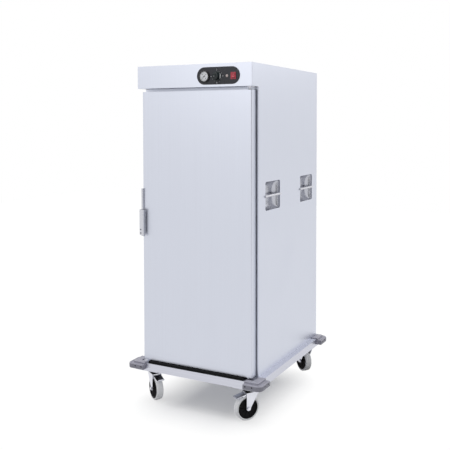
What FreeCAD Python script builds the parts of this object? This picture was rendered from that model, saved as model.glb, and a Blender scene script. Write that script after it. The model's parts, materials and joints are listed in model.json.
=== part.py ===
import FreeCAD, Part
import math
import os

# Heated, insulated meal tray cart with one full-height door.
# Millimetres. X to the right, Y to the back, Z up. The origin is on the floor,
# at the centre of the footprint that the corner bumpers make.

V = FreeCAD.Vector

# ---- cabinet ----
HEIGHT = 1770.0
BODY_WIDTH = 670.0
BODY_DEPTH = 850.0
BODY_BOTTOM = 210.0
BOX_HEIGHT = 115.0
BOX_OVERHANG = 71.0
SHEET = 1.5
BEND_RADIUS = 3.5
FLANGE = 18.0
ROOF_FLANGE = 16.0
FASCIA_EDGE_FLAT = 0.2

# ---- chamber ----
WALL = 45.0
ROOF_WALL = 43.0
LINER_SHEET = 1.2
FRAME_LIP = 15.0

# ---- door ----
DOOR_INSET = 12.0
DOOR_BOTTOM_GAP = 12.0
DOOR_TOP_GAP = 16.0
DOOR_SETBACK = 24.0
DOOR_THICKNESS = 40.0
DOOR_EDGE_RADIUS = 7.0
DOOR_SHEET = 1.2
GASKET_WIDTH = 12.0
GASKET_GAP = 0.3
GASKET_OVERLAP = 1.5

# ---- hinges: pins stand in brackets on the cabinet, bushes sit in the door ----
HINGE_FROM_EDGE = 18.0
HINGE_FROM_FRONT = 16.0
PIN_RADIUS = 5.0
PIN_CLEARANCE = 0.05
PIN_LENGTH = 32.0
BUSH_RADIUS = 8.0
BUSH_DEPTH = 36.0
BUSH_FLANGE_RADIUS = 11.0
BUSH_FLANGE = 3.5
BRACKET_SHEET = 4.0
BRACKET_WIDTH = 36.0
BRACKET_CORNER = 8.0
BRACKET_FOOT = 16.0
PIN_END_GAP = 2.0
BRACKET_FRONT_MARGIN = 6.0

# ---- running and seating gaps ----
SEAT_GAP = 0.3
RUNNING_GAP = 0.05

# ---- cutters run this far past the faces they open, and edges are found this near a face ----
PAST = 1.0
NEAR = 1.0
CLOSE = 0.01

# ---- latch on the door's left edge; its heights count from the bolt's axis ----
BOLT_HEIGHT = 930.0
LATCH_BASE_BELOW = 92.0
LATCH_BASE_ABOVE = 202.0
LATCH_BASE_WIDTH = 22.0
LATCH_BASE_SHEET = 3.0
LATCH_BASE_INSET = 1.0
LATCH_CORNER = 4.0
NECK_ABOVE = 93.0
NECK_INSET = 1.0
NECK_LAP = 10.0
NECK_TOP_RADIUS = 5.0
NECK_EDGE_RADIUS = 3.0
NECK_WIDTH = 13.0
NECK_DEPTH = 10.0
GRIP_BELOW = 105.0
GRIP_ABOVE = 92.0
GRIP_OUTSIDE = 7.0
GRIP_WIDTH = 26.0
GRIP_DEPTH = 25.0
GRIP_SHEET = 3.0
GRIP_LIP = 8.0
GRIP_SLANT = 13.0
GRIP_EDGE_RADIUS = 5.0
GRIP_WALL_GAP = 3.0
GRIP_WEB = 3.0
LATCH_PIN_RADIUS = 2.5
LATCH_PIN_FORWARD = 13.0
LATCH_PIN_OUTSIDE = 3.0
HUB_RADIUS = 5.0
EAR_THICKNESS = 5.0
EAR_ROOT = 8.0
EAR_INSET = 1.0
LOWER_EAR_BELOW = 82.0
UPPER_EAR_ABOVE = 68.0
GRIP_SCREWS_BELOW = (77.0, 49.0)
GRIP_SCREW_RADIUS = 3.0
GRIP_SCREW_OFFSET = 3.0
BOLT_RADIUS = 5.0
BOLT_FROM_FRONT = 20.0
BOLT_LENGTH = 40.0
BOLT_TRAVEL = 6.0
BOLT_NOSE = 2.0
KEEPER_SHEET = 3.0
KEEPER_HEIGHT = 50.0
KEEPER_FOOT = 23.0
KEEPER_REACH = 40.0
KEEPER_FROM_SIDE = 4.0
KEEPER_CORNER = 6.0

# ---- push handles sunk in both sides ----
CUP_WIDTH = 176.0
CUP_HEIGHT = 146.0
CUP_BOTTOM = 1034.0
CUP_FROM_FRONT = 149.0
CUP_FROM_BACK = 77.0
CUP_CORNER = 10.0
CUP_FLANGE = 10.0
CUP_SHEET = 1.2
CUP_DEPTH = 36.0
CUP_BACK_INSET = 34.0
CUP_STEPS = 4
BAR_RADIUS = 6.0
BAR_OVERLAP = 6.0
BAR_FLAT = 4.0

# ---- controls on the fascia ----
CONTROL_HEIGHT = 51.75
PLATE_WIDTH = 248.0
PLATE_HEIGHT = 81.0
PLATE_FROM_SIDE = 183.0
PLATE_THICKNESS = 2.0
THERMOMETER_OFFSET = -81.0
THERMOMETER_RADIUS = 30.0
DIAL_RADIUS = 24.5
CASE_RADIUS = 26.0
CASE_PROUD = 8.0
CASE_DEPTH = 30.0
CASE_BEVEL = 2.0
DIAL_RECESS = 5.0
LENS_THICKNESS = 1.0
LENS_INSET = 0.5
NEEDLE_THICKNESS = 1.0
NEEDLE_HUB = 2.6
NEEDLE_LENGTH = 19.0
NEEDLE_TAIL = 6.0
NEEDLE_WIDTH = 1.6
NEEDLE_REST = -45.0
KNOB_OFFSET = -10.0
KNOB_RADIUS = 25.0
KNOB_SKIRT = 4.0
KNOB_GRIP_RADIUS = 19.0
KNOB_TOP_RADIUS = 16.0
KNOB_HEIGHT = 20.0
KNOB_RIB_WIDTH = 5.0
KNOB_RIB_HEIGHT = 2.0
KNOB_RIB_START = -2.0
KNOB_RIB_MARGIN = 3.0
KNOB_BEVEL = 2.0
KNOB_SKIRT_BEVEL = 1.0
SHAFT_RADIUS = 3.0
SHAFT_HOLE_RADIUS = 5.0
SHAFT_DEPTH = 14.0
THERMOSTAT_SIZE = 44.0
THERMOSTAT_DEPTH = 30.0
THERMOSTAT_CORNER = 4.0
LAMP_OFFSET = 47.0
LAMP_RADIUS = 4.5
LAMP_BEZEL_RADIUS = 7.0
LAMP_BEZEL = 2.0
LAMP_BEZEL_BEVEL = 1.0
LAMP_DOME = 2.5
LAMP_DEPTH = 20.0
SWITCH_OFFSET = 83.0
SWITCH_WIDTH = 28.0
SWITCH_HEIGHT = 34.0
SWITCH_FRAME = 4.0
SWITCH_PROUD = 3.0
SWITCH_DEPTH = 24.0
SWITCH_FLANGE = 2.0
SWITCH_CORNER = 2.0
ROCKER_CLEARANCE = 0.6
ROCKER_TILT = 8.0
ROCKER_PROUD = 3.0
ROCKER_DEPTH = 8.0
ROCKER_PIVOT_DEPTH = 2.0
ROCKER_DIP = 1.0
ROCKER_TRIM = 1.0
ROCKER_FOOT_DEPTH = 4.0
ROCKER_FOOT_HALF = 3.0

# ---- cable gland on the back ----
GLAND_FROM_SIDE = 185.0
GLAND_BORE_RADIUS = 5.0
GLAND_BODY_RADIUS = 9.0
GLAND_NUT_RADIUS = 14.0
GLAND_OUTSIDE = 20.0
GLAND_NUT = 8.0
GLAND_INSIDE = 12.0
VENT_COUNT = 7
VENT_WIDTH = 6.0
VENT_HEIGHT = 50.0
VENT_PITCH = 14.0
VENT_FROM_SIDE = 245.0

# ---- base frame, bumpers and sill ----
RAIL_PROUD = 30.0
RAIL_BACK_PROUD = 5.0
RAIL_HEIGHT = 40.0
RAIL_FLANGE = 50.0
RAIL_SHEET = 2.5
RAIL_CORNER = 4.0
GUSSET_SHEET = 4.0
GUSSET_SIZE = 140.0
GUSSET_CHAMFER = 45.0
BUMPER_PROUD = 25.0
BUMPER_SIDE_PROUD = 31.0
BUMPER_BOTTOM = 179.0
BUMPER_BAND_HEIGHT = 26.0
BUMPER_LIP_SHEET = 4.0
BUMPER_LIP_WALL = 8.0
BUMPER_ARM = 101.0
BUMPER_CORNER = 28.0
BUMPER_SHOULDER = 5.0
BUMPER_LIP_EDGE = 2.5
BUMPER_EDGE = 4.0
BUMPER_RELIEF = 0.3
SCREW_RADIUS = 4.0
SCREW_SHANK_RADIUS = 2.2
SCREW_HEAD = 2.5
SCREW_SET = 1.0
SCREW_HEIGHT = 195.0
FRONT_SCREWS = (51.0, 88.0)
SIDE_SCREWS = (45.0, 82.0)
SILL_HEIGHT = 10.0
SILL_INSET = 6.0
SILL_END_GAP = 14.0
SILL_RADIUS = 3.0

# ---- casters ----
CASTER_INSET_X = 39.0
CASTER_FRONT = 77.0
CASTER_BACK = 57.0
WHEEL_RADIUS = 62.5
TRAIL = 32.0
TYRE_WIDTH = 36.0
TYRE_SHOULDER = 4.0
CORE_RADIUS = 52.5
CORE_RIM_WIDTH = 38.0
CORE_DISH_WIDTH = 25.0
CORE_DISH_RADIUS = 45.0
CORE_DRAFT = 2.0
HUB_BOSS_RADIUS = 13.0
HUB_BOSS_WIDTH = 45.4
AXLE_RADIUS = 5.0
AXLE_HOLE_CLEARANCE = 0.2
AXLE_HEAD_RADIUS = 9.0
AXLE_HEAD = 6.0
LEG_INNER = 23.0
LEG_SHEET = 3.0
LEG_FOOT_RADIUS = 11.0
LEG_TOP_FRONT = 22.0
LEG_SHOULDER = 3.0
CROWN_TOP = 141.0
CROWN_SHEET = 4.0
RACE_RADIUS = 29.0
RACE_NECK_RADIUS = 24.0
RACE_BEVEL = 2.0
RACE_FOOT = 3.0
KINGPIN_RADIUS = 6.0
KINGPIN_HEAD_RADIUS = 10.0
KINGPIN_HEAD = 6.0
TOP_PLATE_SHEET = 5.0
TOP_PLATE_LENGTH = 105.0
TOP_PLATE_WIDTH = 85.0
TOP_PLATE_CORNER = 8.0
BOLT_SPACING_LENGTH = 80.0
BOLT_SPACING_WIDTH = 60.0
PLATE_BOLT_RADIUS = 4.0
PLATE_BOLT_HOLE = 4.3
PLATE_BOLT_HEAD = 6.5
PLATE_BOLT_HEAD_HEIGHT = 5.5
PLATE_BOLT_LENGTH = 14.0
BRAKE_PIN_RADIUS = 2.5
BRAKE_PIN_AHEAD = 9.0
BRAKE_PIN_HEIGHT = 131.5
BRAKE_REACH = 60.0
BRAKE_WIDTH = 42.0
BRAKE_SHEET = 2.5
BRAKE_DROP = 12.0
BRAKE_EAR = 20.0
BRAKE_LIP = 8.0
BRAKE_PLATE_START = 3.0
BRAKE_EAR_MARGIN = 2.0
BRAKE_EAR_ROUND = 3.0
BRAKE_CORNER = 6.0
# direction that each wheel trails, in degrees from straight ahead towards +X
FRONT_RIGHT_ANGLE = -35.0
FRONT_LEFT_ANGLE = 56.0
REAR_RIGHT_ANGLE = -126.0
REAR_LEFT_ANGLE = 140.0
TRAIL_ANGLES = {"front_right": FRONT_RIGHT_ANGLE, "front_left": FRONT_LEFT_ANGLE,
                "rear_right": REAR_RIGHT_ANGLE, "rear_left": REAR_LEFT_ANGLE}

# ---- inside the chamber ----
RACK_DEPTH = 20.0
RACK_UPRIGHT = 25.0
RACK_SHEET = 1.5
RACK_FROM_ENDS = 90.0
RUNNER_PITCH = 108.0
RUNNER_RISE = 145.0
RUNNER_HEADROOM = 100.0
RUNNER_WIDTH = 20.0
RUNNER_DROP = 8.0
RUNNER_OVERHANG = 30.5
HEATER_RADIUS = 4.0
HEATER_RISE = 23.0
HEATER_LOOP = 40.0
HEATER_LEGS = 4
HEATER_FRONT_GAP = 189.0
HEATER_BACK_GAP = 125.0
HEATER_BOSS_RADIUS = 12.0
HEATER_BOSS = 4.0
COVER_SIDE_GAP = 80.0
COVER_FRONT_GAP = 89.0
COVER_BACK_GAP = 85.0
COVER_HEIGHT = 47.0
COVER_SLOTS = 9
COVER_SLOT_WIDTH = 8.0
COVER_SLOT_LENGTH = 30.0
COVER_SLOT_MARGIN = 9.5
PAN_SIDE_GAP = 60.0
PAN_END_GAP = 30.0
PAN_DEPTH = 58.0
PAN_RIM = 10.0
PAN_CORNER = 25.0

# ---- places that follow from the sizes ----
HALF = BODY_WIDTH / 2
BOX_BOTTOM = HEIGHT - BOX_HEIGHT
FRAME_WIDTH = BODY_WIDTH + 2 * RAIL_PROUD
FRAME_LENGTH = BODY_DEPTH + RAIL_BACK_PROUD
FRONT_Y = -FRAME_LENGTH / 2
BACK_Y = FRONT_Y + BODY_DEPTH
FACE_Y = FRONT_Y + BOX_OVERHANG
DOOR_FRONT_Y = FRONT_Y + DOOR_SETBACK
DOOR_BACK_Y = DOOR_FRONT_Y + DOOR_THICKNESS
DOOR_HALF = HALF - DOOR_INSET
DOOR_TOP = BOX_BOTTOM - DOOR_TOP_GAP
DOOR_BOTTOM = BODY_BOTTOM + DOOR_BOTTOM_GAP
CHAMBER_HALF = HALF - WALL
CHAMBER_BACK_Y = BACK_Y - WALL
CHAMBER_BOTTOM = BODY_BOTTOM + WALL
CHAMBER_TOP = BOX_BOTTOM - ROOF_WALL
HINGE_X = DOOR_HALF - HINGE_FROM_EDGE
HINGE_Y = DOOR_FRONT_Y + HINGE_FROM_FRONT
CONTROL_Z = BOX_BOTTOM + CONTROL_HEIGHT
PLATE_X = HALF - PLATE_FROM_SIDE
PLATE_Y = FRONT_Y - PLATE_THICKNESS
THERMOMETER_X = PLATE_X + THERMOMETER_OFFSET
KNOB_X = PLATE_X + KNOB_OFFSET
LAMP_X = PLATE_X + LAMP_OFFSET
SWITCH_X = PLATE_X + SWITCH_OFFSET
GLAND_X = GLAND_FROM_SIDE - HALF
VENT_X = HALF - VENT_FROM_SIDE
LATCH_BASE_BOTTOM = BOLT_HEIGHT - LATCH_BASE_BELOW
LATCH_BASE_TOP = BOLT_HEIGHT + LATCH_BASE_ABOVE
NECK_BOTTOM = BOLT_HEIGHT + NECK_ABOVE
GRIP_BOTTOM = BOLT_HEIGHT - GRIP_BELOW
GRIP_TOP = BOLT_HEIGHT + GRIP_ABOVE
LOWER_EAR = BOLT_HEIGHT - LOWER_EAR_BELOW
UPPER_EAR = BOLT_HEIGHT + UPPER_EAR_ABOVE
CUP_FRONTS = (CUP_FROM_FRONT, BODY_DEPTH - CUP_FROM_BACK - CUP_WIDTH)
CUP_TOP = CUP_BOTTOM + CUP_HEIGHT
BAR_Z = CUP_BOTTOM + CUP_HEIGHT / 2
RAIL_BOTTOM = BODY_BOTTOM - RAIL_HEIGHT
TOP_PLATE_TOP = RAIL_BOTTOM - GUSSET_SHEET
TOP_PLATE_BOTTOM = TOP_PLATE_TOP - TOP_PLATE_SHEET
BUMPER_X = FRAME_WIDTH / 2 + BUMPER_SIDE_PROUD
FIRST_RUNNER = CHAMBER_BOTTOM + RUNNER_RISE
RUNNER_LEVELS = 1 + int((CHAMBER_TOP - RUNNER_HEADROOM - FIRST_RUNNER) / RUNNER_PITCH)
HEATER_HEIGHT = CHAMBER_BOTTOM + HEATER_RISE
COVER_TOP = CHAMBER_BOTTOM + COVER_HEIGHT
COVER_HALF = CHAMBER_HALF - COVER_SIDE_GAP
COVER_FRONT_Y = FACE_Y + COVER_FRONT_GAP
COVER_BACK_Y = CHAMBER_BACK_Y - COVER_BACK_GAP
PAN_HALF = COVER_HALF - PAN_SIDE_GAP
PAN_FRONT_Y = COVER_FRONT_Y + PAN_END_GAP
PAN_BACK_Y = COVER_BACK_Y - PAN_END_GAP


# ---- shape helpers ----
def block(x0, x1, y0, y1, z0, z1):
    return Part.makeBox(x1 - x0, y1 - y0, z1 - z0, V(x0, y0, z0))


def rod(start, direction, radius, length):
    return Part.makeCylinder(radius, length, V(*start), V(*direction))


def prism(points, travel):
    """The polygon through the points, pushed along the travel vector."""
    wire = Part.makePolygon([V(*point) for point in points + [points[0]]])
    return Part.Face(wire).extrude(V(*travel))


def turned(profile, centre, direction):
    """A solid of revolution: (radius, distance along the axis) points turned round the axis."""
    wire = Part.makePolygon([V(r, 0, h) for r, h in profile + [profile[0]]])
    solid = Part.Face(wire).revolve(V(0, 0, 0), V(0, 0, 1), 360)
    solid.Placement = FreeCAD.Placement(V(*centre), FreeCAD.Rotation(V(0, 0, 1), V(*direction)))
    return solid


def edges_along(solid, axis, chosen):
    """Straight edges of the solid that run along an axis and whose middle the test accepts."""
    found = []
    for edge in solid.Edges:
        ends = edge.Vertexes
        if len(ends) != 2 or edge.Curve.TypeId != "Part::GeomLine":
            continue
        run = (ends[1].Point - ends[0].Point).normalize()
        if abs(run.dot(axis)) > 0.999 and chosen(edge.CenterOfMass):
            found.append(edge)
    return found


def rounded(solid, axis, radius, chosen=lambda middle: True):
    return solid.makeFillet(radius, edges_along(solid, axis, chosen))


def rounded_block(x0, x1, y0, y1, z0, z1, axis, radius):
    return rounded(block(x0, x1, y0, y1, z0, z1), axis, radius)


def mirrored(shape):
    return shape.mirror(V(0, 0, 0), V(1, 0, 0))


def on_side(shape, side):
    """The shape as built on the right, or its mirror image on the left."""
    return shape if side > 0 else mirrored(shape)


def joined(shapes):
    solid = shapes[0].fuse(shapes[1:])
    return solid.removeSplitter()


def group(solids):
    return Part.makeCompound(solids)


def long_hole(x, z, width, height, y0, y1):
    """Upright slot with round ends, centred at x and z."""
    half = width / 2
    straight = (height - width) / 2
    return joined([
        block(x - half, x + half, y0, y1, z - straight, z + straight),
        rod((x, y0, z - straight), (0, 1, 0), half, y1 - y0),
        rod((x, y0, z + straight), (0, 1, 0), half, y1 - y0),
    ])


X_AXIS = V(1, 0, 0)
Y_AXIS = V(0, 1, 0)
Z_AXIS = V(0, 0, 1)


# ---- outer skin ----
def folded_wall(y0, y1, z0, z1):
    """A right-hand wall with both vertical edges folded inwards."""
    outer = block(HALF - FLANGE, HALF, y0, y1, z0, z1)
    outer = rounded(outer, Z_AXIS, BEND_RADIUS, lambda middle: middle.x > HALF - NEAR)
    inner = block(HALF - FLANGE - PAST, HALF - SHEET, y0 + SHEET, y1 - SHEET, z0 - PAST, z1 + PAST)
    inner = rounded(inner, Z_AXIS, BEND_RADIUS - SHEET, lambda middle: middle.x > HALF - SHEET - NEAR)
    return outer.cut(inner)


def side_panel(side):
    wall = folded_wall(FACE_Y, BACK_Y, BODY_BOTTOM, HEIGHT)
    cheek = folded_wall(FRONT_Y + SHEET, BACK_Y, BOX_BOTTOM, HEIGHT)
    behind_face = block(HALF - FLANGE - PAST, HALF - SHEET, FACE_Y - PAST, BACK_Y - SHEET,
                        BOX_BOTTOM, HEIGHT + PAST)
    panel = wall.cut(behind_face).fuse(cheek).removeSplitter()
    deck_slot = block(HALF - FLANGE - PAST, HALF - SHEET, FRONT_Y, BACK_Y - SHEET, BOX_BOTTOM - PAST,
                      BOX_BOTTOM + SHEET)
    panel = panel.cut(deck_slot)
    for front in CUP_FRONTS:
        hole = rounded_block(HALF - 2 * SHEET, HALF + SHEET, FRONT_Y + front,
                             FRONT_Y + front + CUP_WIDTH, CUP_BOTTOM, CUP_TOP, X_AXIS, CUP_CORNER)
        panel = panel.cut(hole)
    return on_side(panel, side)


def back_panel():
    y0 = BACK_Y - 2 * SHEET
    x = HALF - BEND_RADIUS
    panel = block(-x, x, y0, BACK_Y - SHEET, BODY_BOTTOM, HEIGHT - SHEET)
    panel = panel.cut(rod((GLAND_X, y0 - PAST, CONTROL_Z), (0, 1, 0), GLAND_BODY_RADIUS, SHEET + 2 * PAST))
    for number in range(VENT_COUNT):
        panel = panel.cut(long_hole(VENT_X + number * VENT_PITCH, CONTROL_Z, VENT_WIDTH, VENT_HEIGHT,
                                    y0 - PAST, BACK_Y))
    return panel


def roof_panel():
    x = HALF - SHEET
    y0 = FRONT_Y + 2 * SHEET
    y1 = BACK_Y - SHEET
    pan = block(-x + FLANGE, x - FLANGE, y0, y1 - SHEET, HEIGHT - ROOF_FLANGE, HEIGHT - SHEET)
    hollow = block(-x + FLANGE + SHEET, x - FLANGE - SHEET, y0 + SHEET, y1 - 2 * SHEET,
                   HEIGHT - ROOF_FLANGE - PAST, HEIGHT)
    top = block(-x, x, y0, y1, HEIGHT - SHEET, HEIGHT)
    return joined([rounded(top, Z_AXIS, BEND_RADIUS), pan.cut(hollow)])


def face_frame():
    x = HALF - FLANGE
    frame = block(-x, x, FACE_Y, FACE_Y + SHEET, BODY_BOTTOM, BOX_BOTTOM)
    lip = block(-CHAMBER_HALF - LINER_SHEET, CHAMBER_HALF + LINER_SHEET, FACE_Y, FACE_Y + FRAME_LIP,
                CHAMBER_BOTTOM - LINER_SHEET, CHAMBER_TOP + LINER_SHEET)
    opening = block(-CHAMBER_HALF, CHAMBER_HALF, FACE_Y - PAST, FACE_Y + FRAME_LIP + PAST,
                    CHAMBER_BOTTOM, CHAMBER_TOP)
    return frame.fuse(lip).cut(opening).removeSplitter()


def fascia_holes(y0, y1):
    """Cutters for the instruments, through the fascia and its plate."""
    depth = y1 - y0
    width = SWITCH_WIDTH / 2 - SWITCH_FLANGE
    height = SWITCH_HEIGHT / 2 - SWITCH_FLANGE
    return group([
        rod((THERMOMETER_X, y0, CONTROL_Z), (0, 1, 0), CASE_RADIUS, depth),
        rod((KNOB_X, y0, CONTROL_Z), (0, 1, 0), SHAFT_HOLE_RADIUS, depth),
        rod((LAMP_X, y0, CONTROL_Z), (0, 1, 0), LAMP_RADIUS, depth),
        block(SWITCH_X - width, SWITCH_X + width, y0, y1, CONTROL_Z - height, CONTROL_Z + height),
    ])


def control_fascia():
    front = block(-HALF, HALF, FRONT_Y, FRONT_Y + SHEET, BOX_BOTTOM, HEIGHT)
    front = rounded(front, Z_AXIS, SHEET - FASCIA_EDGE_FLAT,
                    lambda middle: middle.y < FRONT_Y + SHEET / 2)
    deck = block(SHEET - HALF, HALF - SHEET, FRONT_Y, BACK_Y - 2 * SHEET, BOX_BOTTOM, BOX_BOTTOM + SHEET)
    return joined([front, deck]).cut(fascia_holes(FRONT_Y - PAST, FRONT_Y + SHEET + PAST))


def floor_pan():
    x = HALF - SHEET
    return rounded_block(-x, x, FACE_Y + SHEET, BACK_Y - 2 * SHEET, BODY_BOTTOM, BODY_BOTTOM + SHEET,
                         Z_AXIS, BEND_RADIUS)


# ---- insulation and liner ----
def insulation():
    """Boards between skin and liner; the side boards leave a pocket round each handle cup."""
    outer = HALF - SHEET
    inner = CHAMBER_HALF + LINER_SHEET
    front = FACE_Y + SHEET
    rear = CHAMBER_BACK_Y + LINER_SHEET
    low = BODY_BOTTOM + SHEET
    pocket_low = CUP_BOTTOM - CUP_FLANGE - SEAT_GAP
    pocket_high = CUP_TOP + CUP_FLANGE + SEAT_GAP
    right = [block(inner, outer, front, rear, low, pocket_low),
             block(inner, outer, front, rear, pocket_high, BOX_BOTTOM)]
    start = front
    for cup_front in CUP_FRONTS:
        pocket_start = FRONT_Y + cup_front - CUP_FLANGE - SEAT_GAP
        right.append(block(inner, outer, start, pocket_start, pocket_low, pocket_high))
        start = FRONT_Y + cup_front + CUP_WIDTH + CUP_FLANGE + SEAT_GAP
    right.append(block(inner, outer, start, rear, pocket_low, pocket_high))
    in_bend = rounded_block(-outer, outer, front, BACK_Y, low, BOX_BOTTOM, Z_AXIS, BEND_RADIUS)
    right = [board.common(in_bend) for board in right]
    left = [mirrored(board) for board in right]
    back = rounded_block(-outer, outer, rear, BACK_Y - 2 * SHEET, low, BOX_BOTTOM, Z_AXIS, BEND_RADIUS)
    floor = block(-inner, inner, FACE_Y + FRAME_LIP, rear, low, CHAMBER_BOTTOM - LINER_SHEET)
    roof = block(-inner, inner, FACE_Y + FRAME_LIP, rear, CHAMBER_TOP + LINER_SHEET, BOX_BOTTOM)
    return group(right + left + [back, floor, roof])


def chamber_liner():
    front = FACE_Y + FRAME_LIP
    side = block(CHAMBER_HALF, CHAMBER_HALF + LINER_SHEET, front, CHAMBER_BACK_Y,
                 CHAMBER_BOTTOM, CHAMBER_TOP)
    wide = CHAMBER_HALF + LINER_SHEET
    back = block(-wide, wide, CHAMBER_BACK_Y, CHAMBER_BACK_Y + LINER_SHEET,
                 CHAMBER_BOTTOM - LINER_SHEET, CHAMBER_TOP + LINER_SHEET)
    floor = block(-wide, wide, front, CHAMBER_BACK_Y, CHAMBER_BOTTOM - LINER_SHEET, CHAMBER_BOTTOM)
    roof = block(-wide, wide, front, CHAMBER_BACK_Y, CHAMBER_TOP, CHAMBER_TOP + LINER_SHEET)
    return group([side, mirrored(side), back, floor, roof])


def tray_rack(side):
    """Two channel uprights against the wall and a pile of angle runners for the trays."""
    web = CHAMBER_HALF - RACK_DEPTH
    front = FACE_Y + RACK_FROM_ENDS
    back = CHAMBER_BACK_Y - RACK_FROM_ENDS
    solids = []
    for y in (front, back):
        upright = block(web, CHAMBER_HALF, y, y + RACK_UPRIGHT, CHAMBER_BOTTOM, CHAMBER_TOP - RACK_DEPTH)
        hollow = block(web + RACK_SHEET, CHAMBER_HALF + PAST, y + RACK_SHEET, y + RACK_UPRIGHT - RACK_SHEET,
                       CHAMBER_BOTTOM - PAST, CHAMBER_TOP)
        solids.append(upright.cut(hollow))
    start = front - RUNNER_OVERHANG
    length = back + RACK_UPRIGHT + RUNNER_OVERHANG - start
    for level in range(RUNNER_LEVELS):
        top = FIRST_RUNNER + level * RUNNER_PITCH
        section = [(web, start, top), (web - RUNNER_WIDTH, start, top),
                   (web - RUNNER_WIDTH, start, top - RACK_SHEET),
                   (web - RACK_SHEET, start, top - RACK_SHEET),
                   (web - RACK_SHEET, start, top - RUNNER_DROP), (web, start, top - RUNNER_DROP)]
        solids.append(prism(section, (0, length, 0)))
    return on_side(group(solids), side)


# ---- heat and humidity ----
def heating_element():
    """One tube bent into three hairpins, its two ends in bosses on the rear liner."""
    z = HEATER_HEIGHT
    reach = (HEATER_LEGS - 1) * HEATER_LOOP
    rear = CHAMBER_BACK_Y
    front_turn = FACE_Y + HEATER_FRONT_GAP
    back_turn = rear - HEATER_BACK_GAP
    start_y = rear
    edges = []
    for number in range(HEATER_LEGS):
        x = 2 * number * HEATER_LOOP - reach
        last = number == HEATER_LEGS - 1
        forward = number % 2 == 0
        turn_y = rear if last else front_turn if forward else back_turn
        edges.append(Part.makeLine(V(x, start_y, z), V(x, turn_y, z)))
        start_y = turn_y
        if not last:
            bulge = -HEATER_LOOP if forward else HEATER_LOOP
            arc = Part.Arc(V(x, turn_y, z), V(x + HEATER_LOOP, turn_y + bulge, z),
                           V(x + 2 * HEATER_LOOP, turn_y, z))
            edges.append(arc.toShape())
    path = Part.Wire(edges)
    section = Part.Wire([Part.makeCircle(HEATER_RADIUS, V(-reach, rear, z), V(0, -1, 0))])
    tube = path.makePipeShell([section], True, False)
    bosses = [rod((x, rear, z), (0, -1, 0), HEATER_BOSS_RADIUS, HEATER_BOSS) for x in (-reach, reach)]
    return tube.fuse(bosses).removeSplitter()


def heater_cover():
    x = COVER_HALF
    outer = block(-x, x, COVER_FRONT_Y, COVER_BACK_Y, CHAMBER_BOTTOM, COVER_TOP)
    outer = rounded(outer, Y_AXIS, BEND_RADIUS, lambda middle: middle.z > COVER_TOP - NEAR)
    hollow = block(-x + SHEET, x - SHEET, COVER_FRONT_Y - PAST, COVER_BACK_Y + PAST,
                   CHAMBER_BOTTOM - PAST, COVER_TOP - SHEET)
    hollow = rounded(hollow, Y_AXIS, BEND_RADIUS - SHEET, lambda middle: middle.z > CHAMBER_BOTTOM)
    cover = outer.cut(hollow)
    pitch = (COVER_BACK_Y - COVER_FRONT_Y) / (COVER_SLOTS + 1)
    for number in range(COVER_SLOTS):
        slot_y = COVER_FRONT_Y + (number + 1) * pitch
        slot_x = x - COVER_SLOT_MARGIN
        right = block(slot_x - COVER_SLOT_LENGTH, slot_x, slot_y, slot_y + COVER_SLOT_WIDTH,
                      COVER_TOP - 2 * SHEET, COVER_TOP + PAST)
        cover = cover.cut(group([right, mirrored(right)]))
    return cover


def water_pan():
    x = PAN_HALF
    y0 = PAN_FRONT_Y
    y1 = PAN_BACK_Y
    top = COVER_TOP + PAN_DEPTH
    rim = rounded_block(-x - PAN_RIM, x + PAN_RIM, y0 - PAN_RIM, y1 + PAN_RIM, top - LINER_SHEET, top,
                        Z_AXIS, PAN_CORNER + PAN_RIM)
    body = rounded_block(-x, x, y0, y1, COVER_TOP, top, Z_AXIS, PAN_CORNER)
    hollow = rounded_block(-x + LINER_SHEET, x - LINER_SHEET, y0 + LINER_SHEET, y1 - LINER_SHEET,
                           COVER_TOP + LINER_SHEET, top + PAST, Z_AXIS, PAN_CORNER - LINER_SHEET)
    return body.fuse(rim).cut(hollow).removeSplitter()


# ---- push handles ----
def cup_section(front, inset, x, radius):
    """The cup's rounded outline at depth x, drawn in by the inset."""
    y0 = FRONT_Y + front + inset
    y1 = FRONT_Y + front + CUP_WIDTH - inset
    z0 = CUP_BOTTOM + inset
    z1 = CUP_TOP - inset
    bend = radius * (1 - math.sqrt(0.5))
    edges = [
        Part.makeLine(V(x, y0 + radius, z0), V(x, y1 - radius, z0)),
        Part.Arc(V(x, y1 - radius, z0), V(x, y1 - bend, z0 + bend), V(x, y1, z0 + radius)).toShape(),
        Part.makeLine(V(x, y1, z0 + radius), V(x, y1, z1 - radius)),
        Part.Arc(V(x, y1, z1 - radius), V(x, y1 - bend, z1 - bend), V(x, y1 - radius, z1)).toShape(),
        Part.makeLine(V(x, y1 - radius, z1), V(x, y0 + radius, z1)),
        Part.Arc(V(x, y0 + radius, z1), V(x, y0 + bend, z1 - bend), V(x, y0, z1 - radius)).toShape(),
        Part.makeLine(V(x, y0, z1 - radius), V(x, y0, z0 + radius)),
        Part.Arc(V(x, y0, z0 + radius), V(x, y0 + bend, z0 + bend), V(x, y0 + radius, z0)).toShape(),
    ]
    return Part.Wire(edges)


def cup_bowl(front, wall):
    """The dished form of a cup, grown by the wall's thickness: its sides follow a quarter ellipse."""
    sections = []
    for step in range(CUP_STEPS + 1):
        turn = math.radians(90 * step / CUP_STEPS)
        inset = CUP_BACK_INSET * (1 - math.cos(turn))
        depth = (CUP_DEPTH + wall) * math.sin(turn)
        sections.append(cup_section(front, inset - wall, HALF - SHEET - depth, CUP_CORNER + inset / 2 + wall))
    return Part.makeLoft(sections, True, True)


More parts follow.
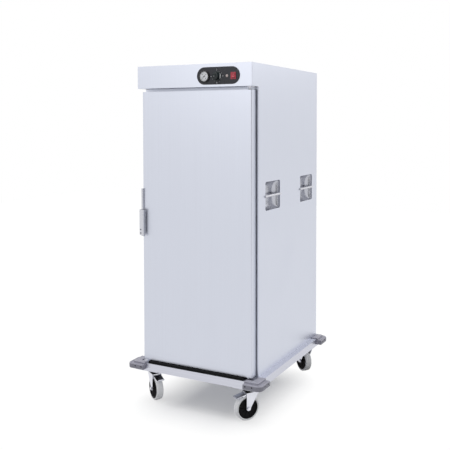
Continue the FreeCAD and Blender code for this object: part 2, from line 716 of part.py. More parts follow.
def handle_cups(side):
    """Two pressed cups, each flanged against the inside of the side panel."""
    rim_x = HALF - SHEET
    cups = []
    for front in CUP_FRONTS:
        flange = rounded_block(rim_x - CUP_SHEET, rim_x, FRONT_Y + front - CUP_FLANGE,
                               FRONT_Y + front + CUP_WIDTH + CUP_FLANGE, CUP_BOTTOM - CUP_FLANGE,
                               CUP_TOP + CUP_FLANGE, X_AXIS, CUP_CORNER + CUP_FLANGE)
        cups.append(flange.fuse(cup_bowl(front, CUP_SHEET)).cut(cup_bowl(front, 0.0)))
    return on_side(group(cups), side)


def handle_bars():
    """Round bars across the cups; each end is milled half round and lies on the side panel."""
    bars = []
    for front in CUP_FRONTS:
        y0 = FRONT_Y + front
        whole = rod((HALF, y0 - BAR_OVERLAP, BAR_Z), (0, 1, 0), BAR_RADIUS, CUP_WIDTH + 2 * BAR_OVERLAP)
        for end in (y0 - BAR_OVERLAP, y0 + CUP_WIDTH - BAR_FLAT):
            whole = whole.cut(block(HALF - BAR_RADIUS - PAST, HALF, end, end + BAR_OVERLAP + BAR_FLAT,
                                    BAR_Z - BAR_RADIUS - PAST, BAR_Z + BAR_RADIUS + PAST))
        bars += [whole, mirrored(whole)]
    return group(bars)


# ---- instruments ----
def control_plate():
    straight = (PLATE_WIDTH - PLATE_HEIGHT) / 2
    z = PLATE_HEIGHT / 2
    plate = joined([
        block(PLATE_X - straight, PLATE_X + straight, PLATE_Y, FRONT_Y, CONTROL_Z - z, CONTROL_Z + z),
        rod((PLATE_X - straight, PLATE_Y, CONTROL_Z), (0, 1, 0), z, PLATE_THICKNESS),
        rod((PLATE_X + straight, PLATE_Y, CONTROL_Z), (0, 1, 0), z, PLATE_THICKNESS),
    ])
    return plate.cut(fascia_holes(PLATE_Y - PAST, FRONT_Y + PAST))


def thermometer_case():
    """Turned about the Y axis, distances counted backwards from the control plate's front."""
    front = -CASE_PROUD
    dial = front + DIAL_RECESS
    return turned([(0, dial), (DIAL_RADIUS, dial), (DIAL_RADIUS, front),
                   (THERMOMETER_RADIUS - CASE_BEVEL, front), (THERMOMETER_RADIUS, front + CASE_BEVEL),
                   (THERMOMETER_RADIUS, 0), (CASE_RADIUS, 0),
                   (CASE_RADIUS, CASE_DEPTH), (0, CASE_DEPTH)],
                  (THERMOMETER_X, PLATE_Y, CONTROL_Z), (0, 1, 0))


def thermometer_lens():
    front = PLATE_Y - CASE_PROUD + LENS_INSET
    return rod((THERMOMETER_X, front, CONTROL_Z), (0, 1, 0), DIAL_RADIUS, LENS_THICKNESS)


def thermometer_needle():
    """A pointer on a round hub, just clear of the dial, pointing to the lower left."""
    back = PLATE_Y - CASE_PROUD + DIAL_RECESS - SEAT_GAP
    front = back - NEEDLE_THICKNESS
    hub = rod((THERMOMETER_X, front, CONTROL_Z), (0, 1, 0), NEEDLE_HUB, NEEDLE_THICKNESS)
    half = NEEDLE_WIDTH / 2
    pointer = prism([(THERMOMETER_X - NEEDLE_LENGTH, front, CONTROL_Z),
                     (THERMOMETER_X, front, CONTROL_Z - half),
                     (THERMOMETER_X + NEEDLE_TAIL, front, CONTROL_Z - half),
                     (THERMOMETER_X + NEEDLE_TAIL, front, CONTROL_Z + half),
                     (THERMOMETER_X, front, CONTROL_Z + half)], (0, NEEDLE_THICKNESS, 0))
    needle = joined([hub, pointer])
    needle.rotate(V(THERMOMETER_X, 0, CONTROL_Z), Y_AXIS, NEEDLE_REST)
    return needle


def thermostat_body():
    size = THERMOSTAT_SIZE / 2
    y = FRONT_Y + SHEET
    body = rounded_block(KNOB_X - size, KNOB_X + size, y, y + THERMOSTAT_DEPTH,
                         CONTROL_Z - size, CONTROL_Z + size, Y_AXIS, THERMOSTAT_CORNER)
    bore = rod((KNOB_X, y, CONTROL_Z), (0, 1, 0), SHAFT_RADIUS + RUNNING_GAP, SHAFT_DEPTH + SEAT_GAP)
    return body.cut(bore)


def thermostat_knob():
    """Skirted knob with an index rib; its shaft turns in the thermostat body."""
    back = -SEAT_GAP
    shaft_end = PLATE_THICKNESS + SHEET + SHAFT_DEPTH
    knob = turned([(0, -KNOB_HEIGHT), (KNOB_TOP_RADIUS - KNOB_BEVEL, -KNOB_HEIGHT),
                   (KNOB_TOP_RADIUS, -KNOB_HEIGHT + KNOB_BEVEL), (KNOB_GRIP_RADIUS, back - KNOB_SKIRT),
                   (KNOB_RADIUS - KNOB_SKIRT_BEVEL, back - KNOB_SKIRT),
                   (KNOB_RADIUS, back - KNOB_SKIRT + KNOB_SKIRT_BEVEL),
                   (KNOB_RADIUS, back), (SHAFT_RADIUS, back), (SHAFT_RADIUS, shaft_end), (0, shaft_end)],
                  (KNOB_X, PLATE_Y, CONTROL_Z), (0, 1, 0))
    top = PLATE_Y - KNOB_HEIGHT
    rib = block(KNOB_X - KNOB_RIB_WIDTH / 2, KNOB_X + KNOB_RIB_WIDTH / 2,
                top - KNOB_RIB_HEIGHT, top + KNOB_BEVEL,
                CONTROL_Z + KNOB_RIB_START, CONTROL_Z + KNOB_TOP_RADIUS - KNOB_RIB_MARGIN)
    return joined([knob, rib])


def indicator_lamp():
    """A domed lens in a round bezel with a threaded tail behind."""
    half = math.sqrt(0.5)
    return turned([(0, -LAMP_BEZEL - LAMP_DOME), (LAMP_RADIUS * half, -LAMP_BEZEL - LAMP_DOME * half),
                   (LAMP_RADIUS, -LAMP_BEZEL), (LAMP_BEZEL_RADIUS - LAMP_BEZEL_BEVEL, -LAMP_BEZEL),
                   (LAMP_BEZEL_RADIUS, -LAMP_BEZEL + LAMP_BEZEL_BEVEL),
                   (LAMP_BEZEL_RADIUS, 0), (LAMP_RADIUS, 0), (LAMP_RADIUS, LAMP_DEPTH), (0, LAMP_DEPTH)],
                  (LAMP_X, PLATE_Y, CONTROL_Z), (0, 1, 0))


def switch_housing():
    x = SWITCH_WIDTH / 2
    z = SWITCH_HEIGHT / 2
    front = PLATE_Y - SWITCH_PROUD
    bezel = rounded_block(SWITCH_X - x, SWITCH_X + x, front, PLATE_Y, CONTROL_Z - z, CONTROL_Z + z,
                          Y_AXIS, SWITCH_CORNER)
    tail = block(SWITCH_X - x + SWITCH_FLANGE, SWITCH_X + x - SWITCH_FLANGE, PLATE_Y, PLATE_Y + SWITCH_DEPTH,
                 CONTROL_Z - z + SWITCH_FLANGE, CONTROL_Z + z - SWITCH_FLANGE)
    well = block(SWITCH_X - x + SWITCH_FRAME, SWITCH_X + x - SWITCH_FRAME, front - PAST,
                 PLATE_Y + ROCKER_DEPTH + ROCKER_PROUD, CONTROL_Z - z + SWITCH_FRAME,
                 CONTROL_Z + z - SWITCH_FRAME)
    return joined([bezel, tail]).cut(well)


def power_rocker():
    """A rocker with a shallow V face, tilted on its pivot with the top pressed in."""
    x0 = SWITCH_X - SWITCH_WIDTH / 2 + SWITCH_FRAME + ROCKER_CLEARANCE
    width = SWITCH_WIDTH - 2 * SWITCH_FRAME - 2 * ROCKER_CLEARANCE
    z = SWITCH_HEIGHT / 2 - SWITCH_FRAME - ROCKER_CLEARANCE
    pivot = rocker_pivot_y()
    lift = z * math.tan(math.radians(ROCKER_TILT))
    face = PLATE_Y - SWITCH_PROUD - ROCKER_DIP
    short = z * math.cos(math.radians(ROCKER_TILT)) - ROCKER_TRIM
    foot = pivot + ROCKER_FOOT_DEPTH
    section = [(x0, face, CONTROL_Z), (x0, face - lift, CONTROL_Z + short),
               (x0, pivot, CONTROL_Z + short - ROCKER_TRIM), (x0, foot, CONTROL_Z + ROCKER_FOOT_HALF),
               (x0, foot, CONTROL_Z - ROCKER_FOOT_HALF), (x0, pivot, CONTROL_Z - short + ROCKER_TRIM),
               (x0, face - lift, CONTROL_Z - short)]
    rocker = prism(section, (width, 0, 0))
    rocker.rotate(V(SWITCH_X, pivot, CONTROL_Z), X_AXIS, -ROCKER_TILT)
    return rocker


def rocker_pivot_y():
    return PLATE_Y + ROCKER_PIVOT_DEPTH


def power_inlet():
    """Cable gland: hexagon outside, tail through the back panel and a lock nut inside."""
    y = BACK_Y - SHEET
    skin = SHEET
    body = rod((GLAND_X, y - skin - GLAND_INSIDE, CONTROL_Z), (0, 1, 0), GLAND_BODY_RADIUS,
               GLAND_INSIDE + skin + GLAND_OUTSIDE)
    nut = hexagon(GLAND_NUT_RADIUS, GLAND_NUT, (GLAND_X, y, CONTROL_Z), (0, 1, 0))
    lock = hexagon(GLAND_NUT_RADIUS, GLAND_NUT / 2, (GLAND_X, y - skin - GLAND_NUT / 2, CONTROL_Z), (0, 1, 0))
    bore = rod((GLAND_X, y - skin - GLAND_INSIDE - PAST, CONTROL_Z), (0, 1, 0), GLAND_BORE_RADIUS,
               GLAND_INSIDE + skin + GLAND_OUTSIDE + 2 * PAST)
    return joined([body, nut, lock]).cut(bore)


def hexagon(radius, height, start, direction):
    """A hexagonal prism; the radius reaches its corners."""
    corners = []
    for number in range(6):
        angle = math.radians(60 * number)
        corners.append((radius * math.cos(angle), radius * math.sin(angle), 0))
    nut = prism(corners, (0, 0, height))
    nut.Placement = FreeCAD.Placement(V(*start), FreeCAD.Rotation(V(0, 0, 1), V(*direction)))
    return nut


# ---- base ----
def caster_places():
    x = FRAME_WIDTH / 2 - RAIL_PROUD - CASTER_INSET_X
    front = FRONT_Y + CASTER_FRONT
    back = BACK_Y - CASTER_BACK
    return {"front_right": (x, front), "front_left": (-x, front),
            "rear_right": (x, back), "rear_left": (-x, back)}


def bolt_places(x, y):
    """The four bolts of a top plate; the plate's long side runs along Y."""
    places = []
    for dx in (-BOLT_SPACING_WIDTH / 2, BOLT_SPACING_WIDTH / 2):
        for dy in (-BOLT_SPACING_LENGTH / 2, BOLT_SPACING_LENGTH / 2):
            places.append((x + dx, y + dy))
    return places


def base_frame():
    """Channel rails all round, with a gusset plate under each corner for its caster."""
    x = FRAME_WIDTH / 2
    y = FRAME_LENGTH / 2
    outer = rounded_block(-x, x, -y, y, RAIL_BOTTOM, BODY_BOTTOM, Z_AXIS, RAIL_CORNER)
    middle = block(RAIL_FLANGE - x, x - RAIL_FLANGE, RAIL_FLANGE - y, y - RAIL_FLANGE,
                   RAIL_BOTTOM - PAST, BODY_BOTTOM + PAST)
    channel = block(RAIL_SHEET - x, x - RAIL_SHEET, RAIL_SHEET - y, y - RAIL_SHEET,
                    RAIL_BOTTOM + RAIL_SHEET, BODY_BOTTOM - RAIL_SHEET)
    rails = outer.cut(middle).cut(channel)
    gussets = []
    for sx in (-1, 1):
        for sy in (-1, 1):
            near_x = sx * (x - RAIL_CORNER)
            near_y = sy * (y - RAIL_CORNER)
            far_x = sx * (x - GUSSET_SIZE)
            far_y = sy * (y - GUSSET_SIZE)
            corner_x = far_x + sx * GUSSET_CHAMFER
            corner_y = far_y + sy * GUSSET_CHAMFER
            outline = [(near_x, near_y), (near_x, far_y), (corner_x, far_y), (far_x, corner_y),
                       (far_x, near_y)]
            plate = prism([(px, py, TOP_PLATE_TOP) for px, py in outline], (0, 0, GUSSET_SHEET))
            gussets.append(plate)
    frame = joined([rails] + gussets)
    holes = []
    for x, y in caster_places().values():
        for bolt_x, bolt_y in bolt_places(x, y):
            holes.append(rod((bolt_x, bolt_y, TOP_PLATE_TOP - PAST), (0, 0, 1), PLATE_BOLT_HOLE,
                             GUSSET_SHEET + RAIL_SHEET + 2 * PAST))
    return frame.cut(group(holes))


def corner_bumper(front, side):
    """Moulded corner: a thick band round the rail's corner with a lip over its top."""
    x1 = BUMPER_X
    y0 = FRONT_Y - BUMPER_PROUD
    arm_x = x1 - BUMPER_ARM
    arm_y = y0 + BUMPER_ARM
    inner_y = DOOR_FRONT_Y - SILL_INSET if front else -BACK_Y - BUMPER_RELIEF
    half_x = FRAME_WIDTH / 2
    band_top = BUMPER_BOTTOM + BUMPER_BAND_HEIGHT
    top = BODY_BOTTOM + BUMPER_LIP_SHEET
    band = elbow(arm_x, arm_y, x1, y0, inner_y, BUMPER_BOTTOM, band_top, BUMPER_CORNER)
    band = band.makeFillet(BUMPER_SHOULDER, outer_rim(band, x1, y0, band_top))
    band = band.makeFillet(BUMPER_EDGE, outer_rim(band, x1, y0, BUMPER_BOTTOM))
    lip_x = half_x + BUMPER_LIP_WALL
    lip_y = FRONT_Y - BUMPER_LIP_WALL
    lip = elbow(arm_x, arm_y, lip_x, lip_y, inner_y, band_top, top, RAIL_CORNER + BUMPER_LIP_WALL)
    lip = lip.makeFillet(BUMPER_LIP_EDGE, outer_rim(lip, lip_x, lip_y, top))
    body = joined([band, lip])
    rail = block(0, half_x, FRONT_Y, 0, RAIL_BOTTOM - PAST, BODY_BOTTOM)
    body = body.cut(rounded(rail, Z_AXIS, RAIL_CORNER,
                            lambda middle: middle.x > half_x - NEAR and middle.y < FRONT_Y + NEAR))
    for offset in FRONT_SCREWS:
        body = body.cut(screw_well(x1 - offset, y0, (0, 1, 0), BUMPER_PROUD))
    for offset in SIDE_SCREWS:
        body = body.cut(screw_well(x1, y0 + offset, (-1, 0, 0), BUMPER_SIDE_PROUD))
    if not front:
        body = body.mirror(V(0, 0, 0), V(0, 1, 0))
    return on_side(body, side)


def elbow(arm_x, arm_y, outer_x, outer_y, inner_y, low, high, radius):
    """An upright L of two arms, round on its outer corner, that keeps clear of the body inside it."""
    inner_x = HALF + BUMPER_RELIEF
    outline = [(arm_x, outer_y), (outer_x, outer_y), (outer_x, arm_y), (inner_x, arm_y), (inner_x, inner_y),
               (arm_x, inner_y)]
    solid = prism([(x, y, low) for x, y in outline], (0, 0, high - low))
    return rounded(solid, Z_AXIS, radius,
                   lambda middle: middle.x > outer_x - NEAR and middle.y < outer_y + NEAR)


def outer_rim(body, x1, y0, height):
    """The outline's edges at a height, on the two outer faces and the round corner between them."""
    rim = []
    for edge in body.Edges:
        box = edge.BoundBox
        on_front = box.YMax < y0 + CLOSE
        on_side_face = box.XMin > x1 - CLOSE
        on_corner = edge.Curve.TypeId == "Part::GeomCircle" and box.XMax > x1 - NEAR and box.YMin < y0 + NEAR
        level = abs(box.ZMax - height) < CLOSE and box.ZLength < CLOSE
        if level and (on_front or on_side_face or on_corner):
            rim.append(edge)
    return rim


def screw_well(x, y, inward, depth):
    """Counterbore and pilot hole of a bumper screw, through a band of the given depth."""
    head = rod((x, y, SCREW_HEIGHT), inward, SCREW_RADIUS + SEAT_GAP, SCREW_HEAD + SCREW_SET)
    shank = rod((x, y, SCREW_HEIGHT), inward, SCREW_SHANK_RADIUS, depth + PAST)
    return head.fuse(shank)


def bumper_screws():
    y0 = FRONT_Y - BUMPER_PROUD
    places = [(BUMPER_X - offset, y0, V(0, 1, 0), BUMPER_PROUD) for offset in FRONT_SCREWS]
    places += [(BUMPER_X, y0 + offset, V(-1, 0, 0), BUMPER_SIDE_PROUD) for offset in SIDE_SCREWS]
    screws = []
    for x, y, inward, depth in places:
        start = V(x, y, SCREW_HEIGHT) + inward * SCREW_SET
        head = Part.makeCylinder(SCREW_RADIUS, SCREW_HEAD, start, inward)
        shank = Part.makeCylinder(SCREW_SHANK_RADIUS, depth - SCREW_HEAD - SCREW_SET,
                                  start + inward * SCREW_HEAD, inward)
        screw = head.fuse(shank).removeSplitter()
        back = screw.mirror(V(0, 0, 0), V(0, 1, 0))
        screws += [screw, mirrored(screw), back, mirrored(back)]
    return group(screws)


def sill_strip():
    """Black rubber strip on the front rail, below the door."""
    x = BUMPER_X - BUMPER_ARM - SILL_END_GAP
    strip = block(-x, x, FRONT_Y + SILL_INSET, FACE_Y, BODY_BOTTOM, BODY_BOTTOM + SILL_HEIGHT)
    strip = rounded(strip, X_AXIS, SILL_RADIUS,
                    lambda middle: middle.y < FACE_Y - NEAR and middle.z > BODY_BOTTOM + NEAR)
    side = HINGE_X - BRACKET_WIDTH / 2 - SEAT_GAP
    return strip.cut(block(side, side + BODY_WIDTH, FRONT_Y - PAST, FACE_Y + PAST, BODY_BOTTOM - PAST,
                           DOOR_BOTTOM))


# ---- casters, built with the kingpin on the Z axis and the wheel trailing along +X ----
def placed(shape, corner):
    """Turns the shape to the caster's trail direction and moves it under its corner."""
    x, y = caster_places()[corner]
    shape.rotate(V(0, 0, 0), Z_AXIS, TRAIL_ANGLES[corner] - 90)
    shape.translate(V(x, y, 0))
    return shape


def fork(corner):
    """Crown with a turned race on top, two tapered legs and the axle bolt between their feet."""
    width = LEG_INNER + LEG_SHEET
    back = TRAIL + LEG_FOOT_RADIUS
    crown_bottom = CROWN_TOP - CROWN_SHEET
    crown = block(-LEG_TOP_FRONT, back, -width, width, crown_bottom, CROWN_TOP)
    legs = []
    for y in (-width, LEG_INNER):
        plate = prism([(-LEG_TOP_FRONT, y, CROWN_TOP), (-LEG_TOP_FRONT, y, crown_bottom - LEG_SHOULDER),
                       (TRAIL - LEG_FOOT_RADIUS, y, WHEEL_RADIUS), (back, y, WHEEL_RADIUS),
                       (back, y, CROWN_TOP)], (0, LEG_SHEET, 0))
        foot = rod((TRAIL, y, WHEEL_RADIUS), (0, 1, 0), LEG_FOOT_RADIUS, LEG_SHEET)
        legs += [plate, foot]
    race_top = race_split() - SEAT_GAP
    race = turned([(0, CROWN_TOP), (RACE_RADIUS - RACE_BEVEL, CROWN_TOP),
                   (RACE_RADIUS, CROWN_TOP + RACE_FOOT), (RACE_RADIUS, race_top - RACE_BEVEL),
                   (RACE_NECK_RADIUS, race_top), (0, race_top)],
                  (0, 0, 0), (0, 0, 1))
    body = joined([crown, race] + legs)
    kingpin = rod((0, 0, crown_bottom - PAST), (0, 0, 1), KINGPIN_RADIUS + RUNNING_GAP, race_top)
    axle_hole = rod((TRAIL, -width - PAST, WHEEL_RADIUS), (0, 1, 0), AXLE_RADIUS + AXLE_HOLE_CLEARANCE,
                    2 * width + 2 * PAST)
    solids = [body.cut(kingpin).cut(axle_hole), axle()]
    if has_brake(corner):
        pin = rod((TRAIL + BRAKE_PIN_AHEAD, -width, BRAKE_PIN_HEIGHT), (0, 1, 0), BRAKE_PIN_RADIUS, 2 * width)
        solids[0] = solids[0].cut(pin)
        solids.append(pin)
    return placed(group(solids), corner)


def axle():
    width = LEG_INNER + LEG_SHEET
    shank = rod((TRAIL, -width, WHEEL_RADIUS), (0, 1, 0), AXLE_RADIUS, 2 * width)
    head = hexagon(AXLE_HEAD_RADIUS, AXLE_HEAD, (TRAIL, width, WHEEL_RADIUS), (0, 1, 0))
    nut = hexagon(AXLE_HEAD_RADIUS, AXLE_HEAD, (TRAIL, -width, WHEEL_RADIUS), (0, -1, 0))
    return joined([shank, head, nut])


def race_split():
    """Height at which the turning race meets the fixed one."""
    return (CROWN_TOP + TOP_PLATE_BOTTOM) / 2


def wheel_core(corner):
    rim = CORE_RIM_WIDTH / 2
    dish = CORE_DISH_WIDTH / 2
    boss = HUB_BOSS_WIDTH / 2
    bore = AXLE_RADIUS + RUNNING_GAP
    half = [(bore, boss), (HUB_BOSS_RADIUS, boss), (HUB_BOSS_RADIUS + CORE_DRAFT, dish),
            (CORE_DISH_RADIUS, dish), (CORE_DISH_RADIUS + CORE_DRAFT, rim), (CORE_RADIUS, rim)]
    profile = half + [(radius, -side) for radius, side in reversed(half)]
    return placed(turned(profile, (TRAIL, 0, WHEEL_RADIUS), (0, 1, 0)), corner)


def tyre(corner):
    half = TYRE_WIDTH / 2
    flat = half - TYRE_SHOULDER
    crown = WHEEL_RADIUS
    bend = TYRE_SHOULDER * (1 - math.sqrt(0.5))
    profile = [(CORE_RADIUS, half), (crown - TYRE_SHOULDER, half), (crown - bend, half - bend), (crown, flat),
               (crown, -flat), (crown - bend, bend - half), (crown - TYRE_SHOULDER, -half),
               (CORE_RADIUS, -half)]
    return placed(turned(profile, (TRAIL, 0, WHEEL_RADIUS), (0, 1, 0)), corner)


def has_brake(corner):
    return corner.startswith("front")


def brake_pedal(corner):
    """Stamped pedal over the tread: two ears on the brake pin and a lipped foot plate."""
    x = TRAIL + BRAKE_PIN_AHEAD
    z = BRAKE_PIN_HEIGHT
    half = BRAKE_WIDTH / 2
    start = x + BRAKE_PIN_RADIUS + BRAKE_PLATE_START
    end = x + BRAKE_REACH
    plate = block(start, end, -half, half, z, z + BRAKE_SHEET)
    plate = rounded(plate, Z_AXIS, BRAKE_CORNER, lambda middle: middle.x > end - NEAR)
    lip = block(end - BRAKE_SHEET, end, -half + BRAKE_CORNER, half - BRAKE_CORNER, z, z + BRAKE_LIP)
    ears = []
    for y in (-half, half - BRAKE_SHEET):
        ear = block(x, x + BRAKE_EAR, y, y + BRAKE_SHEET, z - BRAKE_PIN_RADIUS - BRAKE_EAR_MARGIN,
                    z + BRAKE_SHEET)
        eye = rod((x, y, z - BRAKE_PIN_RADIUS / 2), (0, 1, 0), BRAKE_PIN_RADIUS + BRAKE_EAR_ROUND,
                  BRAKE_SHEET)
        ears += [ear, eye]
    pedal = joined([plate, lip] + ears)
    pedal = pedal.cut(rod((x, -half - PAST, z), (0, 1, 0), BRAKE_PIN_RADIUS + RUNNING_GAP,
                          BRAKE_WIDTH + 2 * PAST))
    pedal.rotate(V(x, 0, z), Y_AXIS, BRAKE_DROP)
    return placed(pedal, corner)


def caster_plates():
    """Top plates with the fixed race, and the kingpin riveted up through the fork."""
    plates = []
    for x, y in caster_places().values():
        plate = rounded_block(-TOP_PLATE_WIDTH / 2, TOP_PLATE_WIDTH / 2, -TOP_PLATE_LENGTH / 2,
                              TOP_PLATE_LENGTH / 2, TOP_PLATE_BOTTOM, TOP_PLATE_TOP, Z_AXIS, TOP_PLATE_CORNER)
        split = race_split()
        race = turned([(0, split), (RACE_NECK_RADIUS, split), (RACE_RADIUS, split + RACE_BEVEL),
                       (RACE_RADIUS, TOP_PLATE_BOTTOM), (0, TOP_PLATE_BOTTOM)], (0, 0, 0), (0, 0, 1))
        head_top = CROWN_TOP - CROWN_SHEET - SEAT_GAP
        pin = rod((0, 0, head_top), (0, 0, 1), KINGPIN_RADIUS, split - head_top)
        head = rod((0, 0, head_top - KINGPIN_HEAD), (0, 0, 1), KINGPIN_HEAD_RADIUS, KINGPIN_HEAD)
        solid = joined([plate, race, pin, head])
        holes = [rod((bolt_x, bolt_y, TOP_PLATE_BOTTOM - PAST), (0, 0, 1), PLATE_BOLT_HOLE,
                     TOP_PLATE_SHEET + 2 * PAST)
                 for bolt_x, bolt_y in bolt_places(0, 0)]
        solid = solid.cut(group(holes))
        solid.translate(V(x, y, 0))
        plates.append(solid)
    return group(plates)


def caster_bolts():
    bolts = []
    for x, y in caster_places().values():
        for bolt_x, bolt_y in bolt_places(x, y):
            head = hexagon(PLATE_BOLT_HEAD, PLATE_BOLT_HEAD_HEIGHT,
                           (bolt_x, bolt_y, TOP_PLATE_BOTTOM - PLATE_BOLT_HEAD_HEIGHT), (0, 0, 1))
            shank = rod((bolt_x, bolt_y, TOP_PLATE_BOTTOM), (0, 0, 1), PLATE_BOLT_RADIUS, PLATE_BOLT_LENGTH)
            bolts.append(joined([head, shank]))
    return group(bolts)


# ---- door ----
def door_block(inset, y0, y1):
    """The door's outline drawn in by the inset, with its two front edges rounded."""
    x = DOOR_HALF - inset
    return rounded(block(-x, x, y0, y1, DOOR_BOTTOM + inset, DOOR_TOP - inset), Z_AXIS,
                   DOOR_EDGE_RADIUS - inset, lambda middle: middle.y < y0 + NEAR)


def bush_cuts(radius):
    upper = rod((HINGE_X, HINGE_Y, DOOR_TOP - BUSH_DEPTH), (0, 0, 1), radius, BUSH_DEPTH + PAST)
    lower = rod((HINGE_X, HINGE_Y, DOOR_BOTTOM - PAST), (0, 0, 1), radius, BUSH_DEPTH + PAST)
    return group([upper, lower])


def bolt_pocket():
    depth = BOLT_LENGTH + BOLT_TRAVEL + PAST
    return rod((-DOOR_HALF - PAST, DOOR_FRONT_Y + BOLT_FROM_FRONT, BOLT_HEIGHT), (1, 0, 0),
               BOLT_RADIUS + SEAT_GAP, depth)


def door_skin():
    outer = door_block(0.0, DOOR_FRONT_Y, DOOR_BACK_Y)
    inner = door_block(DOOR_SHEET, DOOR_FRONT_Y + DOOR_SHEET, DOOR_BACK_Y + PAST)
    return outer.cut(inner).cut(bush_cuts(BUSH_RADIUS)).cut(bolt_pocket())


def door_insulation():
    core = door_block(DOOR_SHEET, DOOR_FRONT_Y + DOOR_SHEET, DOOR_BACK_Y - DOOR_SHEET)
    return core.cut(bush_cuts(BUSH_RADIUS)).cut(bolt_pocket())


def door_liner():
    x = DOOR_HALF - DOOR_SHEET
    return block(-x, x, DOOR_BACK_Y - DOOR_SHEET, DOOR_BACK_Y,
                 DOOR_BOTTOM + DOOR_SHEET, DOOR_TOP - DOOR_SHEET)


def door_gasket():
    inner_x = CHAMBER_HALF + GASKET_OVERLAP
    inner_z0 = CHAMBER_BOTTOM - GASKET_OVERLAP
    inner_z1 = CHAMBER_TOP + GASKET_OVERLAP
    outer = block(-inner_x - GASKET_WIDTH, inner_x + GASKET_WIDTH, DOOR_BACK_Y, FACE_Y - GASKET_GAP,
                  inner_z0 - GASKET_WIDTH, inner_z1 + GASKET_WIDTH)
    return outer.cut(block(-inner_x, inner_x, DOOR_BACK_Y - PAST, FACE_Y, inner_z0, inner_z1))


def door_bushes():
    """Flanged bushes; the lower flange carries the door, just clear of its bracket."""
    low_flange = DOOR_BOTTOM - bracket_top() - SEAT_GAP
    lower = turned([(0, -low_flange), (BUSH_FLANGE_RADIUS, -low_flange), (BUSH_FLANGE_RADIUS, 0),
                    (BUSH_RADIUS, 0), (BUSH_RADIUS, BUSH_DEPTH), (0, BUSH_DEPTH)],
                   (HINGE_X, HINGE_Y, DOOR_BOTTOM), (0, 0, 1))
    upper = turned([(0, -BUSH_FLANGE), (BUSH_FLANGE_RADIUS, -BUSH_FLANGE), (BUSH_FLANGE_RADIUS, 0),
                    (BUSH_RADIUS, 0), (BUSH_RADIUS, BUSH_DEPTH), (0, BUSH_DEPTH)],
                   (HINGE_X, HINGE_Y, DOOR_TOP), (0, 0, -1))
    bore = rod((HINGE_X, HINGE_Y, DOOR_BOTTOM - BUSH_FLANGE * 2), (0, 0, 1), PIN_RADIUS + PIN_CLEARANCE,
               BUSH_FLANGE * 2 + PIN_LENGTH)
    top_bore = rod((HINGE_X, HINGE_Y, DOOR_TOP + BUSH_FLANGE * 2), (0, 0, -1), PIN_RADIUS + PIN_CLEARANCE,
                   BUSH_FLANGE * 2 + PIN_LENGTH)
    return group([lower.cut(bore), upper.cut(top_bore)])


def bracket_top():
    """Upper face of the lower hinge bracket."""
    return DOOR_BOTTOM - BRACKET_SHEET


def hinge_brackets():
    """Lower bracket standing on the front rail, upper one under the control box, each with its pin."""
    x0 = HINGE_X - BRACKET_WIDTH / 2
    x1 = HINGE_X + BRACKET_WIDTH / 2
    y0 = DOOR_FRONT_Y + BRACKET_FRONT_MARGIN
    top = bracket_top()
    arm = rounded(block(x0, x1, y0, FACE_Y, top - BRACKET_SHEET, top), Z_AXIS, BRACKET_CORNER,
                  lambda middle: middle.y < y0 + NEAR)
    foot = block(x0, x1, FACE_Y - BRACKET_FOOT, FACE_Y, BODY_BOTTOM, top)
    pin = rod((HINGE_X, HINGE_Y, top), (0, 0, 1), PIN_RADIUS, PIN_LENGTH)
    lower = joined([arm, foot, pin])
    arm = rounded(block(x0, x1, y0, FACE_Y, BOX_BOTTOM - BRACKET_SHEET, BOX_BOTTOM), Z_AXIS, BRACKET_CORNER,
                  lambda middle: middle.y < y0 + NEAR)
    reach = DOOR_TOP_GAP - BRACKET_SHEET + PIN_LENGTH - PIN_END_GAP
    pin = rod((HINGE_X, HINGE_Y, BOX_BOTTOM - BRACKET_SHEET), (0, 0, -1), PIN_RADIUS, reach)
    return group([lower, joined([arm, pin])])


# ---- latch ----
def latch_pin_place():
    return (-DOOR_HALF - LATCH_PIN_OUTSIDE, DOOR_FRONT_Y - LATCH_PIN_FORWARD)


def latch_base():
    """Plate on the door with a slim neck above, two ears and the pin that the grip turns on."""
    x0 = -DOOR_HALF + LATCH_BASE_INSET
    x1 = x0 + LATCH_BASE_WIDTH
    y1 = DOOR_FRONT_Y
    y0 = y1 - LATCH_BASE_SHEET
    plate = rounded_block(x0, x1, y0, y1, LATCH_BASE_BOTTOM, NECK_BOTTOM, Y_AXIS, LATCH_CORNER)
    neck_x = x0 + NECK_INSET
    neck_y = y1 - NECK_DEPTH
    neck = block(neck_x, neck_x + NECK_WIDTH, neck_y, y1, NECK_BOTTOM - NECK_LAP, LATCH_BASE_TOP)
    neck = rounded(neck, Y_AXIS, NECK_TOP_RADIUS, lambda middle: middle.z > LATCH_BASE_TOP - NEAR)
    neck = rounded(neck, Z_AXIS, NECK_EDGE_RADIUS, lambda middle: middle.y < neck_y + NEAR)
    neck = neck.cut(block(neck_x - PAST, x1, neck_y - PAST, y0, 0, NECK_BOTTOM))
    pin_x, pin_y = latch_pin_place()
    ear_radius = HUB_RADIUS - EAR_INSET
    ears = []
    for z in (LOWER_EAR, UPPER_EAR):
        web = prism([(pin_x, pin_y - ear_radius, z), (x0 + EAR_ROOT, y0 + EAR_INSET, z),
                     (x0, y0 + EAR_INSET, z), (pin_x - ear_radius / 2, pin_y + ear_radius / 2, z)],
                    (0, 0, EAR_THICKNESS))
        ears += [web, rod((pin_x, pin_y, z), (0, 0, 1), ear_radius, EAR_THICKNESS)]
    pin = rod((pin_x, pin_y, LOWER_EAR), (0, 0, 1), LATCH_PIN_RADIUS,
              UPPER_EAR + EAR_THICKNESS - LOWER_EAR)
    return joined([plate, neck, pin] + ears)


